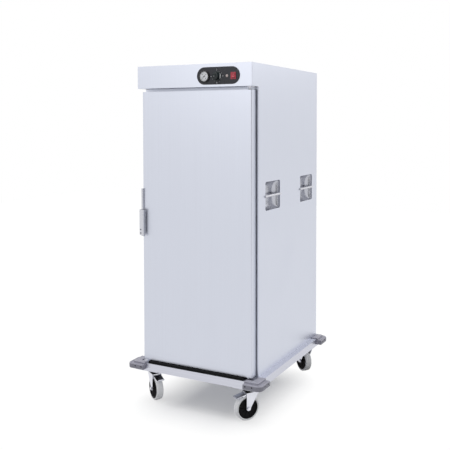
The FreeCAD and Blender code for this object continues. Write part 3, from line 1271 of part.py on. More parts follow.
def latch_grip():
    """J-shaped pull: side wall at the left, front plate, and a lip on the right to hook fingers behind."""
    x0 = -DOOR_HALF - GRIP_OUTSIDE
    x1 = x0 + GRIP_WIDTH
    y0 = DOOR_FRONT_Y - GRIP_DEPTH
    wall_end = DOOR_FRONT_Y - HUB_RADIUS - GRIP_WALL_GAP
    low = GRIP_BOTTOM - PAST
    high = GRIP_TOP + PAST
    shell = block(x0, x1, y0, wall_end, GRIP_BOTTOM, GRIP_TOP)
    shell = rounded(shell, Z_AXIS, GRIP_EDGE_RADIUS, lambda middle: middle.y < y0 + NEAR)
    hollow = block(x0 + GRIP_SHEET, x1 - GRIP_SHEET, y0 + GRIP_SHEET, wall_end + PAST, low, high)
    hollow = rounded(hollow, Z_AXIS, GRIP_EDGE_RADIUS - GRIP_SHEET,
                     lambda middle: middle.y < y0 + GRIP_SHEET + NEAR)
    finger_side = block(x1 - GRIP_SHEET - PAST, x1 + PAST, y0 + GRIP_LIP, wall_end + PAST, low, high)
    shell = shell.cut(hollow).cut(finger_side)
    pin_x, pin_y = latch_pin_place()
    gap = 2 * SEAT_GAP
    for z in (LOWER_EAR, UPPER_EAR):
        shell = shell.cut(block(x0 - PAST, pin_x + HUB_RADIUS + EAR_INSET, pin_y - HUB_RADIUS - gap,
                                DOOR_FRONT_Y, z - gap, z + EAR_THICKNESS + gap))
    slant = prism([(x0 - PAST, y0 - PAST, low), (x1 + PAST, y0 - PAST, low),
                   (x0 - PAST, y0 - PAST, GRIP_BOTTOM + GRIP_SLANT)], (0, GRIP_DEPTH + 2 * PAST, 0))
    shell = shell.cut(slant)
    low = LOWER_EAR + EAR_THICKNESS + SEAT_GAP
    high = UPPER_EAR - SEAT_GAP
    hub = rod((pin_x, pin_y, low), (0, 0, 1), HUB_RADIUS, high - low)
    web = block(x0, pin_x, pin_y - GRIP_WEB / 2, pin_y + GRIP_WEB / 2, low, high)
    grip = joined([shell, hub, web])
    bore = rod((pin_x, pin_y, low - PAST), (0, 0, 1), LATCH_PIN_RADIUS + RUNNING_GAP, high - low + 2 * PAST)
    grip = grip.cut(bore)
    screw_x = x0 + GRIP_WIDTH / 2 - GRIP_SCREW_OFFSET
    for below in GRIP_SCREWS_BELOW:
        grip = grip.cut(rod((screw_x, y0 - PAST, BOLT_HEIGHT - below), (0, 1, 0), GRIP_SCREW_RADIUS,
                            GRIP_SHEET + 2 * PAST))
    return grip


def latch_bolt():
    """Sprung bolt in the door's edge; its round nose stops just short of the keeper's hole."""
    keeper_face = keeper_x() + KEEPER_SHEET
    return turned([(0, 0), (BOLT_RADIUS - BOLT_NOSE, 0), (BOLT_RADIUS, BOLT_NOSE), (BOLT_RADIUS, BOLT_LENGTH),
                   (0, BOLT_LENGTH)],
                  (keeper_face + SEAT_GAP, DOOR_FRONT_Y + BOLT_FROM_FRONT, BOLT_HEIGHT), (1, 0, 0))


def keeper_x():
    """Outer face of the keeper's wall."""
    return -HALF + KEEPER_FROM_SIDE


def latch_keeper():
    """Angle on the face frame beside the door, with the hole for the latch bolt."""
    x0 = keeper_x()
    z0 = BOLT_HEIGHT - KEEPER_HEIGHT / 2
    z1 = BOLT_HEIGHT + KEEPER_HEIGHT / 2
    wall = block(x0, x0 + KEEPER_SHEET, FACE_Y - KEEPER_REACH, FACE_Y, z0, z1)
    wall = rounded(wall, X_AXIS, KEEPER_CORNER, lambda middle: middle.y < FACE_Y - NEAR)
    foot = block(x0, x0 + KEEPER_FOOT, FACE_Y - KEEPER_SHEET, FACE_Y, z0, z1)
    hole = rod((x0 - PAST, DOOR_FRONT_Y + BOLT_FROM_FRONT, BOLT_HEIGHT), (1, 0, 0),
               BOLT_RADIUS + 2 * SEAT_GAP, KEEPER_SHEET + 2 * PAST)
    return joined([wall, foot]).cut(hole)


CORNERS = ("front_left", "front_right", "rear_left", "rear_right")

nodes = {
    "side_panel_left": side_panel(-1),
    "side_panel_right": side_panel(1),
    "back_panel": back_panel(),
    "roof_panel": roof_panel(),
    "face_frame": face_frame(),
    "control_fascia": control_fascia(),
    "floor_pan": floor_pan(),
    "insulation": insulation(),
    "chamber_liner": chamber_liner(),
    "tray_rack_left": tray_rack(-1),
    "tray_rack_right": tray_rack(1),
    "heating_element": heating_element(),
    "heater_cover": heater_cover(),
    "water_pan": water_pan(),
    "handle_cups_left": handle_cups(-1),
    "handle_cups_right": handle_cups(1),
    "handle_bars": handle_bars(),
    "control_plate": control_plate(),
    "thermometer_case": thermometer_case(),
    "thermometer_lens": thermometer_lens(),
    "thermometer_needle": thermometer_needle(),
    "thermostat_body": thermostat_body(),
    "thermostat_knob": thermostat_knob(),
    "indicator_lamp": indicator_lamp(),
    "switch_housing": switch_housing(),
    "power_rocker": power_rocker(),
    "power_inlet": power_inlet(),
    "base_frame": base_frame(),
    "bumper_screws": bumper_screws(),
    "sill_strip": sill_strip(),
    "caster_plates": caster_plates(),
    "caster_bolts": caster_bolts(),
    "hinge_brackets": hinge_brackets(),
    "latch_keeper": latch_keeper(),
    "door_skin": door_skin(),
    "door_insulation": door_insulation(),
    "door_liner": door_liner(),
    "door_gasket": door_gasket(),
    "door_bushes": door_bushes(),
    "latch_base": latch_base(),
    "latch_grip": latch_grip(),
    "latch_bolt": latch_bolt(),
}
for corner in CORNERS:
    side = 1 if corner.endswith("right") else -1
    nodes["bumper_" + corner] = corner_bumper(corner.startswith("front"), side)
    nodes["fork_" + corner] = fork(corner)
    nodes["wheel_" + corner] = wheel_core(corner)
    nodes["tyre_" + corner] = tyre(corner)
    if has_brake(corner):
        nodes["brake_pedal_" + corner] = brake_pedal(corner)

os.makedirs("parts", exist_ok=True)
for name, shape in nodes.items():
    shape.exportStep("parts/" + name + ".step")
print(len(nodes), "nodes written")
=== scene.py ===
import json
import math

import bmesh
import bpy
import numpy as np
from bpy.props import FloatProperty, FloatVectorProperty, IntProperty, PointerProperty
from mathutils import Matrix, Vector


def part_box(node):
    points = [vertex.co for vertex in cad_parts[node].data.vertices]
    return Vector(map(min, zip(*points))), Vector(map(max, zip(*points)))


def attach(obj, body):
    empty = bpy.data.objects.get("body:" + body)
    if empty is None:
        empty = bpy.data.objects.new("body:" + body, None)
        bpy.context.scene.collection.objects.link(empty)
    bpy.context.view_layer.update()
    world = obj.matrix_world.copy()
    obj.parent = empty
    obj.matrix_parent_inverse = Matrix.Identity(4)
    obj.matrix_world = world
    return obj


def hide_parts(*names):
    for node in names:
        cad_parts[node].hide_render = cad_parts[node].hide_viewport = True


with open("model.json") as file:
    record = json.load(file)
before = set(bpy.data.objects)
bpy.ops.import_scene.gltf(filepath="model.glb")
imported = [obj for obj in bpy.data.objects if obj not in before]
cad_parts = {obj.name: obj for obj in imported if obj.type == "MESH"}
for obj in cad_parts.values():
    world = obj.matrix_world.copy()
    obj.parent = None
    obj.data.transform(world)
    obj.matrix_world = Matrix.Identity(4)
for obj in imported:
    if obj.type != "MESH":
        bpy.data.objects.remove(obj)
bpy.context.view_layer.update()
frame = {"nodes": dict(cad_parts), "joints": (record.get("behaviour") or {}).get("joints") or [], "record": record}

bl_info = {
    "name": "Meal Tray Cart Dressing",
    "version": (1, 0, 0),
    "blender": (4, 5, 0),
    "location": "View3D > Sidebar > Tray Cart",
    "description": "Gives a packed meal tray cart its finishes, fine pieces, floor and lights",
    "category": "Object",
}

CORNERS = ("front_left", "front_right", "rear_left", "rear_right")
JOINTS = {joint["name"]: joint for joint in frame["joints"]}
WELD = 1e-6
RUNNING_GAP = 0.0003
UPWARD = (0, 0, 1)


def joint_place(name):
    return Vector(JOINTS[name]["pos_m"])


# ---- settings: the colours and sizes that a user would change ----
def colour(name, description, value):
    return FloatVectorProperty(name=name, description=description, default=value, subtype="COLOR",
                               size=3, min=0.0, max=1.0)


def length(name, description, value):
    return FloatProperty(name=name, description=description, default=value, unit="LENGTH",
                         subtype="DISTANCE", min=0.0, precision=4)


def share(name, description, value):
    return FloatProperty(name=name, description=description, default=value, subtype="FACTOR",
                         min=0.0, max=1.0)


def turn(name, description, value):
    return FloatProperty(name=name, description=description, default=value, subtype="ANGLE")


def power(name, description, value):
    return FloatProperty(name=name, description=description, default=value, unit="POWER")


def pair(name, description, value, unit="LENGTH"):
    return FloatVectorProperty(name=name, description=description, default=value, size=2, unit=unit)


class CartFinishes(bpy.types.PropertyGroup):
    """Colours and gloss of the cart's materials."""
    satin_steel: colour("Satin steel", "Stainless sheet of the cabinet and door", (0.64, 0.665, 0.745))
    rail_steel: colour("Rail steel", "Brushed channel of the base frame", (0.60, 0.61, 0.68))
    polished_steel: colour("Polished steel", "Handle bars, hinges and latch", (0.60, 0.605, 0.65))
    liner_steel: colour("Liner steel", "Chamber walls, racks and pan", (0.55, 0.56, 0.58))
    cup_steel: colour("Cup steel", "Pressed handle cups, dull from their tight bends", (0.50, 0.51, 0.56))
    # Painted shade: the cups take a darker tint than the polished steel they are made of, for the shade in their
    # recesses.
    zinc: colour("Zinc plate", "Caster forks, plates, bolts and pedals", (0.72, 0.73, 0.79))
    heater_tube: colour("Heater tube", "Sheath of the heating element", (0.16, 0.14, 0.13))
    foam: colour("Foam", "Insulation boards in walls and door", (0.80, 0.66, 0.34))
    plate_black: colour("Control plate", "Gloss panel behind the instruments", (0.016, 0.017, 0.026))
    plastic_black: colour("Black plastic", "Cases, switch frame and gland", (0.018, 0.018, 0.020))
    knob_black: colour("Knob", "Thermostat knob", (0.012, 0.020, 0.022))
    dial_white: colour("Dial", "Face of the thermometer", (0.95, 0.95, 0.96))
    # This print colour also paints the highlight on the knob's skirt.
    print_white: colour("Print", "Marks printed on the control plate", (0.75, 0.76, 0.78))
    lamp: colour("Lamp", "Lens of the indicator lamp", (0.62, 0.52, 0.50))
    switch_red: colour("Switch red", "Rocker of the power switch", (0.52, 0.02, 0.05))
    bumper: colour("Bumper", "Moulded corner bumpers", (0.35, 0.345, 0.405))
    # On the sill strip under the door this black is painted shade, standing in for the deep shade below the door's
    # bottom; on the gasket it is the rubber's own colour.
    rubber: colour("Rubber", "Sill strip and door gasket", (0.006, 0.006, 0.007))
    tyre: colour("Tyre", "White treads of the wheels", (0.95, 0.955, 0.97))
    core: colour("Wheel core", "Black moulded wheel centres", (0.010, 0.010, 0.011))
    dark_screw: colour("Dark screws", "Screws of the bumpers and the grip", (0.06, 0.06, 0.075))
    satin_roughness: share("Satin roughness", "Spread of reflections on the cabinet's sheets", 0.36)
    polished_roughness: share("Polished roughness", "Spread of reflections on the polished pieces", 0.16)


class CartSizes(bpy.types.PropertyGroup):
    """Sizes of the fine pieces that stand on or for the plain ones."""
    cup_width: length("Cup width", "Length of a handle cup's opening", 0.176)
    cup_flange: length("Cup flange", "Flat border behind the side panel", 0.010)
    cup_corner: length("Cup corner", "Corner radius of the cup's opening", 0.010)
    cup_depth: length("Cup depth", "From the panel's inside to the cup's back", 0.036)
    cup_inset: length("Cup inset", "How far the back is drawn in from the opening", 0.034)
    cup_crown: length("Cup crown", "How far the back bulges outwards at its middle", 0.004)
    cup_sheet: length("Cup sheet", "Wall of a pressed cup", 0.0012)
    bumper_corner: length("Bumper corner", "Outer radius of a bumper's corner", 0.028)
    rib_radius: length("Rib radius", "Half thickness of the ribs on a bumper's band", 0.0012)
    rib_start: length("Rib start", "From the bumper's face to its first rib", 0.0075)
    rib_pitch: length("Rib pitch", "From one rib of a bumper to the next", 0.0045)
    rib_drop: length("Rib drop", "From a bumper's lip down to its band", 0.009)
    wheel_radius: length("Wheel radius", "Axle height of the casters", 0.0625)
    tyre_line: length("Tyre line", "Height of the moulding line round a tyre", 0.0004)
    tyre_shoulder: length("Tyre shoulder", "Radius of a tyre's rounded edge", 0.004)
    core_radius: length("Core radius", "Where the black core meets the tyre", 0.0525)
    core_rim: length("Core rim", "From the dish's edge to the tyre", 0.0075)
    axle_hole: length("Axle hole", "Radius of the bore through a core", 0.00505)
    hub_radius: length("Hub radius", "Boss round the axle", 0.013)
    hub_half: length("Hub half width", "Half the boss's width", 0.0227)
    dish_half: length("Dish half width", "Half the core's thickness between hub and rim", 0.0125)
    rib_height: length("Spoke height", "How far the core's spokes stand out of the dish", 0.0045)
    spokes: IntProperty(name="Spokes", description="Raised spokes on each side of a core", default=10, min=3)
    seal_radius: length("Seal radius", "Black seal round the swivel races", 0.0302)
    gasket_width: length("Gasket width", "Width of the door gasket", 0.012)
    gasket_fold: length("Gasket fold", "Depth of the bellows in the door gasket", 0.0017)
    screw_radius: length("Screw radius", "Head of a bumper screw", 0.004)
    screw_recess: length("Screw recess", "Depth of the cross in a bumper screw", 0.0012)
    grip_screw: length("Grip screw", "Radius of a screw at the foot of the grip", 0.0036)
    grip_recess: length("Grip recess", "Depth of the cross in a grip screw", 0.0006)
    grip_length: length("Grip length", "Height of the latch grip", 0.141)
    grip_sheet: length("Grip sheet", "Sheet that the latch grip is folded from", 0.003)
    grip_bend: length("Grip bend", "Outer radius of the grip's folds", 0.005)
    grip_hub: length("Grip hub", "Outer radius of the grip's hub", 0.005)
    grip_lip: length("Grip lip", "How far the grip's right lip runs back", 0.0145)
    grip_slant: length("Grip slant", "Rise of the grip's foot across its width", 0.008)
    mount_width: length("Mount width", "Width of the latch's plate on the door", 0.015)
    neck_width: length("Neck width", "Width of the latch's slim neck", 0.011)
    ear_height: length("Ear height", "Thickness of the ears that hold the latch pin", 0.005)
    pin_radius: length("Pin radius", "Pin that the grip turns on", 0.0025)
    knob_skirt: length("Knob skirt", "Thickness of the knob's skirt", 0.004)
    print_height: length("Print height", "Thickness of printed marks", 0.00008)
    plate_width: length("Plate width", "Length of the control plate", 0.242)
    plate_height: length("Plate height", "Height of the control plate, and of its round ends", 0.0865)
    plate_offset: pair("Plate offset", "Moves the control plate", (-0.0032, 0.0028))
    dial_radius: length("Dial radius", "White face of the thermometer", 0.0243)
    dial_numbers: IntProperty(name="Dial numbers", description="Step between the numbers", default=30)


class CartStage(bpy.types.PropertyGroup):
    """Camera, lamps and floor."""
    camera_place: FloatVectorProperty(name="Camera place", description="Where the camera stands",
                                      unit="LENGTH", subtype="XYZ", default=(1.8258, -3.3761, 1.4739))
    camera_turn: turn("Camera turn", "Turn to the left of looking straight back", math.radians(26.56))
    camera_dip: turn("Camera dip", "Tilt below the horizon", math.radians(2.12))
    lens: FloatProperty(name="Lens", description="Focal length", default=54.95, unit="CAMERA")
    shift: pair("Shift", "Sideways and upward shift of the picture", (-0.067, -0.169), "NONE")
    floor_size: length("Floor size", "Side of the floor", 16.0)
    floor_colour: colour("Floor colour", "Pale floor", (0.80, 0.80, 0.805))
    floor_lift: share("Floor lift", "Light that the floor adds of itself where it lies in shade", 0.13)
    shade_half: pair("Shade half size", "Half the part of the floor in full shade", (0.12, 0.22))
    shade_centre: pair("Shade centre", "Where the full shade lies", (0.03, -0.12))
    fade_width: length("Fade width", "From the full shade to where the floor is as white as the sky", 0.30)
    flag_turn: turn("Flag turn", "Direction of the dark flag, from -Y towards +X", 0.52)
    flag_width: turn("Flag width", "Width of the dark flag", 0.42)
    flag_depth: share("Flag depth", "How dark the flag is", 0.85)
    world_level: share("World level", "Soft light from all round", 0.80)
    key_power: power("Key lamp", "Large soft lamp, upper left", 20.0)
    fill_power: power("Fill lamp", "Soft lamp behind, on the right", 16.0)
    top_power: power("Top lamp", "Large soft lamp overhead", 150.0)


# ---- meshes worked out as arrays ----
def new_object(name, data):
    """An object linked to the scene."""
    made = bpy.data.objects.new(name, data)
    bpy.context.scene.collection.objects.link(made)
    return made


def put_mesh(name, shape, finish, body, replaces=(), slot=None, smooth=True):
    """Makes a piece from (points, faces), closes its seams and poles, turns its faces outwards and lets it ride on
    a body. The slot argument is not used."""
    points, faces = shape
    mesh = bpy.data.meshes.new(name)
    mesh.from_pydata(np.asarray(points, float).reshape(-1, 3).tolist(), [], faces)
    work = bmesh.new()
    work.from_mesh(mesh)
    bmesh.ops.remove_doubles(work, verts=work.verts, dist=WELD)
    bmesh.ops.recalc_face_normals(work, faces=work.faces)
    work.to_mesh(mesh)
    work.free()
    mesh.materials.append(MATERIALS[finish])
    if smooth:
        mesh.shade_smooth()
        mesh.set_sharp_from_angle(angle=math.radians(35))
    else:
        mesh.shade_flat()
    piece = new_object(name, mesh)
    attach(piece, body)
    slot = slot or finish
    if replaces:
        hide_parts(*replaces)
    return piece


def soften(piece, width):
    """Rounds the piece's sharp edges a little."""
    edge = piece.modifiers.new("Edges", "BEVEL")
    edge.width = width
    edge.segments = 2
    edge.limit_method = "ANGLE"
    edge.angle_limit = math.radians(50)


def grid_faces(rows, columns, wrap_rows=False, wrap_columns=True):
    """Four-cornered faces of a grid of points numbered row by row; a wrapped side closes on itself."""
    r, c = np.meshgrid(np.arange(rows if wrap_rows else rows - 1),
                       np.arange(columns if wrap_columns else columns - 1), indexing="ij")
    r2 = (r + 1) % rows
    c2 = (c + 1) % columns
    quads = np.stack([r * columns + c, r * columns + c2, r2 * columns + c2, r2 * columns + c], -1)
    return quads.reshape(-1, 4).tolist()


def round_points(angle):
    """Points of a circle of radius 1 at these angles."""
    return np.stack([np.cos(angle), np.sin(angle)], -1)


def ring_points(count):
    """Evenly spaced points of a circle of radius 1."""
    return round_points(np.linspace(0, 2 * math.pi, count, endpoint=False))


def revolved(profile, centre, axis, steps, lift=None):
    """Points of a closed profile turned round an axis: centre + r (u cos a + v sin a) + h axis, for each
    profile pair (r, h) and each of the evenly spaced angles a, where u and v are square to the axis and to
    each other. Lift, when given, is a function of the radii, heights and angles that returns new heights."""
    w = np.array(axis, float)
    w /= np.linalg.norm(w)
    u = np.cross((0.0, 0.0, 1.0) if abs(w[2]) < 0.9 else (1.0, 0.0, 0.0), w)
    u /= np.linalg.norm(u)
    v = np.cross(w, u)
    profile = np.asarray(profile, float)
    angle = np.linspace(0, 2 * math.pi, steps, endpoint=False)[:, None]
    radius = profile[None, :, 0] + 0 * angle
    height = profile[None, :, 1] + 0 * angle
    if lift:
        height = lift(radius, height, angle)
    around = np.cos(angle)[:, :, None] * u + np.sin(angle)[:, :, None] * v
    points = np.array(centre, float) + radius[:, :, None] * around + height[:, :, None] * w
    return points.reshape(-1, 3), grid_faces(steps, len(profile), True)


def bend(start, end, centre, steps=6):
    """Points of the arc from start to end round a centre in the profile's plane, both ends included."""
    a, b = (math.atan2(point[1] - centre[1], point[0] - centre[0]) for point in (start, end))
    if abs(b - a) > math.pi:
        b += math.copysign(2 * math.pi, a - b)
    radius = math.hypot(start[0] - centre[0], start[1] - centre[1])
    return (np.array(centre) + radius * round_points(np.linspace(a, b, steps + 1))).tolist()


def rounded_outline(half_width, half_height, radius, arc_steps=8, side_steps=6):
    """Closed outline of a rectangle with round corners: four quarter circles joined by straight sides,
    each side divided evenly, so outlines of any size have the same number of points in step."""
    corners = []
    for sign_x, sign_y, first in ((1, 1, 0), (-1, 1, 90), (-1, -1, 180), (1, -1, 270)):
        angle = np.radians(np.linspace(first, first + 90, arc_steps + 1))
        middle = (sign_x * (half_width - radius), sign_y * (half_height - radius))
        corners.append(middle + radius * round_points(angle))
    along = np.linspace(0, 1, side_steps + 1)[1:-1, None]
    outline = []
    for place, corner in enumerate(corners):
        outline += [corner, corner[-1] * (1 - along) + corners[(place + 1) % 4][0] * along]
    return np.concatenate(outline)


def merged(parts):
    """Several (points, faces) pairs as one."""
    points, faces, count = [], [], 0
    for part_points, part_faces in parts:
        points.append(np.asarray(part_points, float).reshape(-1, 3))
        faces += [[corner + count for corner in face] for face in part_faces]
        count += len(points[-1])
    return np.concatenate(points), faces


def tube(path, radius, ring=10, cap=4):
    """A round rod along a level path: at each point a circle square to the path; at both ends the circle
    shrinks as radius cos t while it moves on by radius sin t, which closes them with a half sphere."""
    path = np.asarray(path, float)
    along = np.gradient(path, axis=0)
    along = along / np.linalg.norm(along, axis=1)[:, None]
    turned = np.linspace(0, math.pi / 2, cap + 1)[1:, None]
    before = path[0] - along[0] * radius * np.sin(turned[::-1])
    after = path[-1] + along[-1] * radius * np.sin(turned)
    centre = np.concatenate([before, path, after])
    end = radius * np.cos(turned[:, 0])
    size = np.concatenate([end[::-1], np.full(len(path), radius), end])
    along = np.concatenate([np.repeat(along[:1], cap, 0), along, np.repeat(along[-1:], cap, 0)])
    side = np.cross(UPWARD, along)
    across = ring_points(ring)[None, :, :, None] * np.stack([side, np.cross(along, side)], 1)[:, None]
    points = centre[:, None, :] + size[:, None, None] * across.sum(2)
    return points.reshape(-1, 3), grid_faces(len(centre), ring)


def capped(first, second):
    """A closed solid between two outlines with as many points: its sides and two flat ends."""
    count = len(first)
    ends = [list(range(count)), list(range(count, 2 * count))]
    return np.concatenate([first, second]), grid_faces(2, count) + ends


def plate_on_front(outline, front, thickness):
    """A thin flat mark: an outline in the X-Z plane, closed, standing out towards -Y."""
    x, z = np.asarray(outline, float).T
    return capped(*(np.stack([x, np.full(len(x), y), z], -1) for y in (front, front - thickness)))


def upright(outline, low, high, slant=0.0):
    """An outline of the X-Y plane carried upwards. With a slant its foot rises towards -X, in proportion to
    the distance from the outline's right side."""
    outline = np.asarray(outline, float)
    x = outline[:, 0]
    foot = low + slant * (x.max() - x) / (x.max() - x.min())
    return capped(*(np.column_stack([outline, level]) for level in (foot, np.full(len(x), high))))


def stroke(start, end, width, front, thickness):
    """A printed line between two points of the X-Z plane."""
    start = np.asarray(start, float)
    end = np.asarray(end, float)
    along = (end - start) / np.linalg.norm(end - start)
    side = np.array([-along[1], along[0]]) * width / 2
    return plate_on_front([start - side, end - side, end + side, start + side], front, thickness)


# the bars of a number as on a calculator: ends in a cell one wide and two high
BARS = {"a": ((0, 2), (1, 2)), "b": ((1, 2), (1, 1)), "c": ((1, 1), (1, 0)), "d": ((1, 0), (0, 0)),
        "e": ((0, 0), (0, 1)), "f": ((0, 1), (0, 2)), "g": ((0, 1), (1, 1))}
DIGITS = {"0": "abcdef", "1": "bc", "2": "abged", "3": "abgcd", "4": "fgbc", "5": "afgcd", "6": "afgedc",
          "7": "abc", "8": "abcdefg", "9": "gfabcd"}


def number(value, middle, height, front, thickness):
    """A number made of strokes, centred on a point of the X-Z plane."""
    cell = height / 2
    text = str(value)
    left = middle[0] - (len(text) * 1.5 - 0.5) * cell / 2
    parts = []
    for place, digit in enumerate(text):
        corner = np.array([left + place * 1.5 * cell, middle[1] - cell])
        for bar in DIGITS[digit]:
            start, end = (corner + np.array(point) * cell for point in BARS[bar])
            parts.append(stroke(start, end, height / 7, front, thickness))
    return parts


def clock_way(angle):
    """Direction in the X-Z plane, by the angle in degrees clockwise from the top."""
    return round_points(math.radians(90 - angle))


def round_marks(centre, inner, outer, width, angles, front, thickness):
    """Ticks that point at a centre, one for each angle in degrees clockwise from the top."""
    return [stroke(centre + clock_way(angle) * inner, centre + clock_way(angle) * outer, width, front,
                   thickness) for angle in angles]


def round_numbers(centre, radius, height, angles, step, front, thickness):
    """Multiples of a step from 0 upwards, round a centre at angles in degrees clockwise from the top."""
    parts = []
    for place, angle in enumerate(angles):
        parts += number(place * step, centre + radius * clock_way(angle), height, front, thickness)
    return parts


def mesh_points(mesh):
    """The points of a mesh as rows of an array."""
    points = np.empty(len(mesh.vertices) * 3)
    mesh.vertices.foreach_get("co", points)
    return points.reshape(-1, 3)


def loose_parts(mesh):
    """The separate solids of a mesh, each as an array of its points."""
    work = bmesh.new()
    work.from_mesh(mesh)
    bmesh.ops.remove_doubles(work, verts=work.verts, dist=WELD)
    waiting = set(work.verts)
    parts = []
    while waiting:
        found = []
        edge = [waiting.pop()]
        while edge:
            vertex = edge.pop()
            found.append(vertex.co[:])
            joined = {link.other_vert(vertex) for link in vertex.link_edges} & waiting
            waiting -= joined
            edge += joined
        parts.append(np.array(found))
    work.free()
    return parts


# ---- node groups shared by the materials ----
def fill(tree, node, values):
    """Puts numbers or links into a node's inputs."""
    for key, value in values.items():
        if isinstance(value, bpy.types.NodeSocket):
            tree.links.new(value, node.inputs[key])
        else:
            node.inputs[key].default_value = value
    return node


def add(tree, kind, values, **settings):
    """A new node with its settings, and with numbers or links put into its inputs."""
    node = tree.nodes.new(kind)
    for key, value in settings.items():
        setattr(node, key, value)
    return fill(tree, node, values)


def maths(tree, operation, first, second=0.0):
    return add(tree, "ShaderNodeMath", {0: first, 1: second}, operation=operation).outputs[0]


def vector(tree, operation, *values):
    return add(tree, "ShaderNodeVectorMath", dict(enumerate(values)), operation=operation).outputs["Vector"]


def split(tree, place):
    return add(tree, "ShaderNodeSeparateXYZ", {0: place}).outputs


def noise(tree, place, scale, detail, **more):
    values = {"Vector": place, "Scale": scale, "Detail": detail, **more}
    return add(tree, "ShaderNodeTexNoise", values).outputs["Fac"]


def ranged(tree, value, low, high, to_low=0.0, to_high=1.0):
    return add(tree, "ShaderNodeMapRange", {"Value": value, "From Min": low, "From Max": high,
                                            "To Min": to_low, "To Max": to_high}).outputs["Result"]


def new_group(name, label, value, outputs):
    """A shared effect: a Vector and one value come in, and masks or heights go out."""
    group = bpy.data.node_groups.new(name, "ShaderNodeTree")
    socket = group.interface.new_socket
    kind = "NodeSocketVector" if isinstance(value, tuple) else "NodeSocketFloat"
    socket(name="Vector", in_out="INPUT", socket_type="NodeSocketVector")
    socket(name=label, in_out="INPUT", socket_type=kind).default_value = value
    for output in outputs:
        socket(name=output, in_out="OUTPUT", socket_type="NodeSocketFloat")
    entry = group.nodes.new("NodeGroupInput").outputs
    return group, entry["Vector"], entry[label], group.nodes.new("NodeGroupOutput")


def grain_group():
    """Fine parallel scratches: noise squeezed across the grain and drawn out along it."""
    group, place, stretch, leave = new_group("Brushed Grain", "Stretch", (900.0, 900.0, 12.0),
                                             ("Tone", "Height"))
    scaled = vector(group, "MULTIPLY", place, stretch)
    fine = noise(group, scaled, 1.0, 3.0)
    both = maths(group, "ADD", fine, noise(group, scaled, 0.13, 2.0))
    fill(group, leave, {"Tone": ranged(group, both, 0.6, 1.4), "Height": fine})
    return group


def handling_group():
    """Soft patches where hands and cloths have passed: noise, cut to its upper half."""
    group, place, scale, leave = new_group("Handling Marks", "Scale", 4.0, ("Mask",))
    large = noise(group, place, scale, 5.0, Roughness=0.55, Distortion=0.4)
    fill(group, leave, {"Mask": ranged(group, large, 0.45, 0.75)})
    return group


def moulded_group():
    """Fine leathery grain of moulded plastic and rubber."""
    group, place, scale, leave = new_group("Moulded Grain", "Scale", 900.0, ("Height", "Tone"))
    cells = add(group, "ShaderNodeTexVoronoi", {"Vector": place, "Scale": scale}, feature="SMOOTH_F1")
    fill(group, leave, {"Height": cells.outputs["Distance"], "Tone": noise(group, place, 26.0, 6.0)})
    return group


def dust_group():
    """Dust and floor dirt: more on faces that look up, broken up by noise."""
    group, place, amount, leave = new_group("Settled Dust", "Amount", 0.3, ("Mask",))
    normal = add(group, "ShaderNodeNewGeometry", {}).outputs["Normal"]
    facing = ranged(group, split(group, normal)["Z"], 0.2, 1.0, 0.25, 1.0)
    broken = ranged(group, noise(group, place, 34.0, 7.0), 0.42, 0.72)
    settled = maths(group, "MULTIPLY", facing, broken)
    fill(group, leave, {"Mask": maths(group, "MULTIPLY", settled, amount)})
    return group


GROUPS = {}


def group_node(tree, make, values):
    """Outputs of a shared group placed in a material; each group is built once."""
    if make not in GROUPS:
        GROUPS[make] = make()
    return add(tree, "ShaderNodeGroup", values, node_tree=GROUPS[make]).outputs


# ---- materials ----
# Near black that painted shade darkens metal to, under the rails and on the front swivel heads
PAINTED_SHADE_BLACK = (0.02, 0.02, 0.024)
DUST = (0.42, 0.41, 0.39)
MATERIALS = {}


def new_material(name):
    """An empty material with its Principled shader, its output and Object coordinates."""
    material = bpy.data.materials.new(name)
    material.use_nodes = True
    tree = material.node_tree
    tree.nodes.clear()
    shader = add(tree, "ShaderNodeBsdfPrincipled", {})
    add(tree, "ShaderNodeOutputMaterial", {"Surface": shader.outputs["BSDF"]})
    return material, tree, shader, add(tree, "ShaderNodeTexCoord", {}).outputs["Object"]


def shade_between(tree, mask, first, second):
    """A colour between two, each a colour or a socket, chosen by a mask."""
    first, second = (end if isinstance(end, bpy.types.NodeSocket) else (*end, 1.0)
                     for end in (first, second))
    mix = add(tree, "ShaderNodeMix", {"Factor": mask, "A": first, "B": second}, data_type="RGBA")
    return mix.outputs["Result"]


def toned(tree, mask, tint, contrast):
    """A tint that a mask makes darker and lighter by the contrast."""
    dark, light = ([min(1.0, part * factor) for part in tint] for factor in (1 - contrast, 1 + contrast))
    return shade_between(tree, mask, dark, light)


def bumped(tree, height, strength, distance):
    node = add(tree, "ShaderNodeBump", {"Height": height, "Strength": strength, "Distance": distance})
    return node.outputs["Normal"]


def brushed_metal(name, tint, roughness, stretch, contrast, marks=0.06, relief=0.12, painted_shade=None):
    """Sheet or plated metal: grain along one direction, patches of handling, a little relief. Painted shade, when
    given, is a function of the tree and its Object coordinates that masks where shade is painted: there the
    metal's colour is darkened to near black."""
    material, tree, shader, place = new_material(name)
    grain = group_node(tree, grain_group, {"Vector": place, "Stretch": stretch})
    handled = group_node(tree, handling_group, {"Vector": place, "Scale": 3.5})
    tone = toned(tree, grain["Tone"], tint, contrast)
    # painted shade: the masked parts of the metal are darkened to near black
    if painted_shade:
        tone = shade_between(tree, painted_shade(tree, place), tone, PAINTED_SHADE_BLACK)
    spread = ranged(tree, grain["Tone"], 0.0, 1.0, roughness - 0.04, roughness + 0.04)
    patches = ranged(tree, handled["Mask"], 0.0, 1.0, 0.0, marks)
    fill(tree, shader, {"Base Color": tone, "Metallic": 1.0, "Roughness": maths(tree, "ADD", spread, patches),
                        "Normal": bumped(tree, grain["Height"], relief, 0.00004)})
    return material


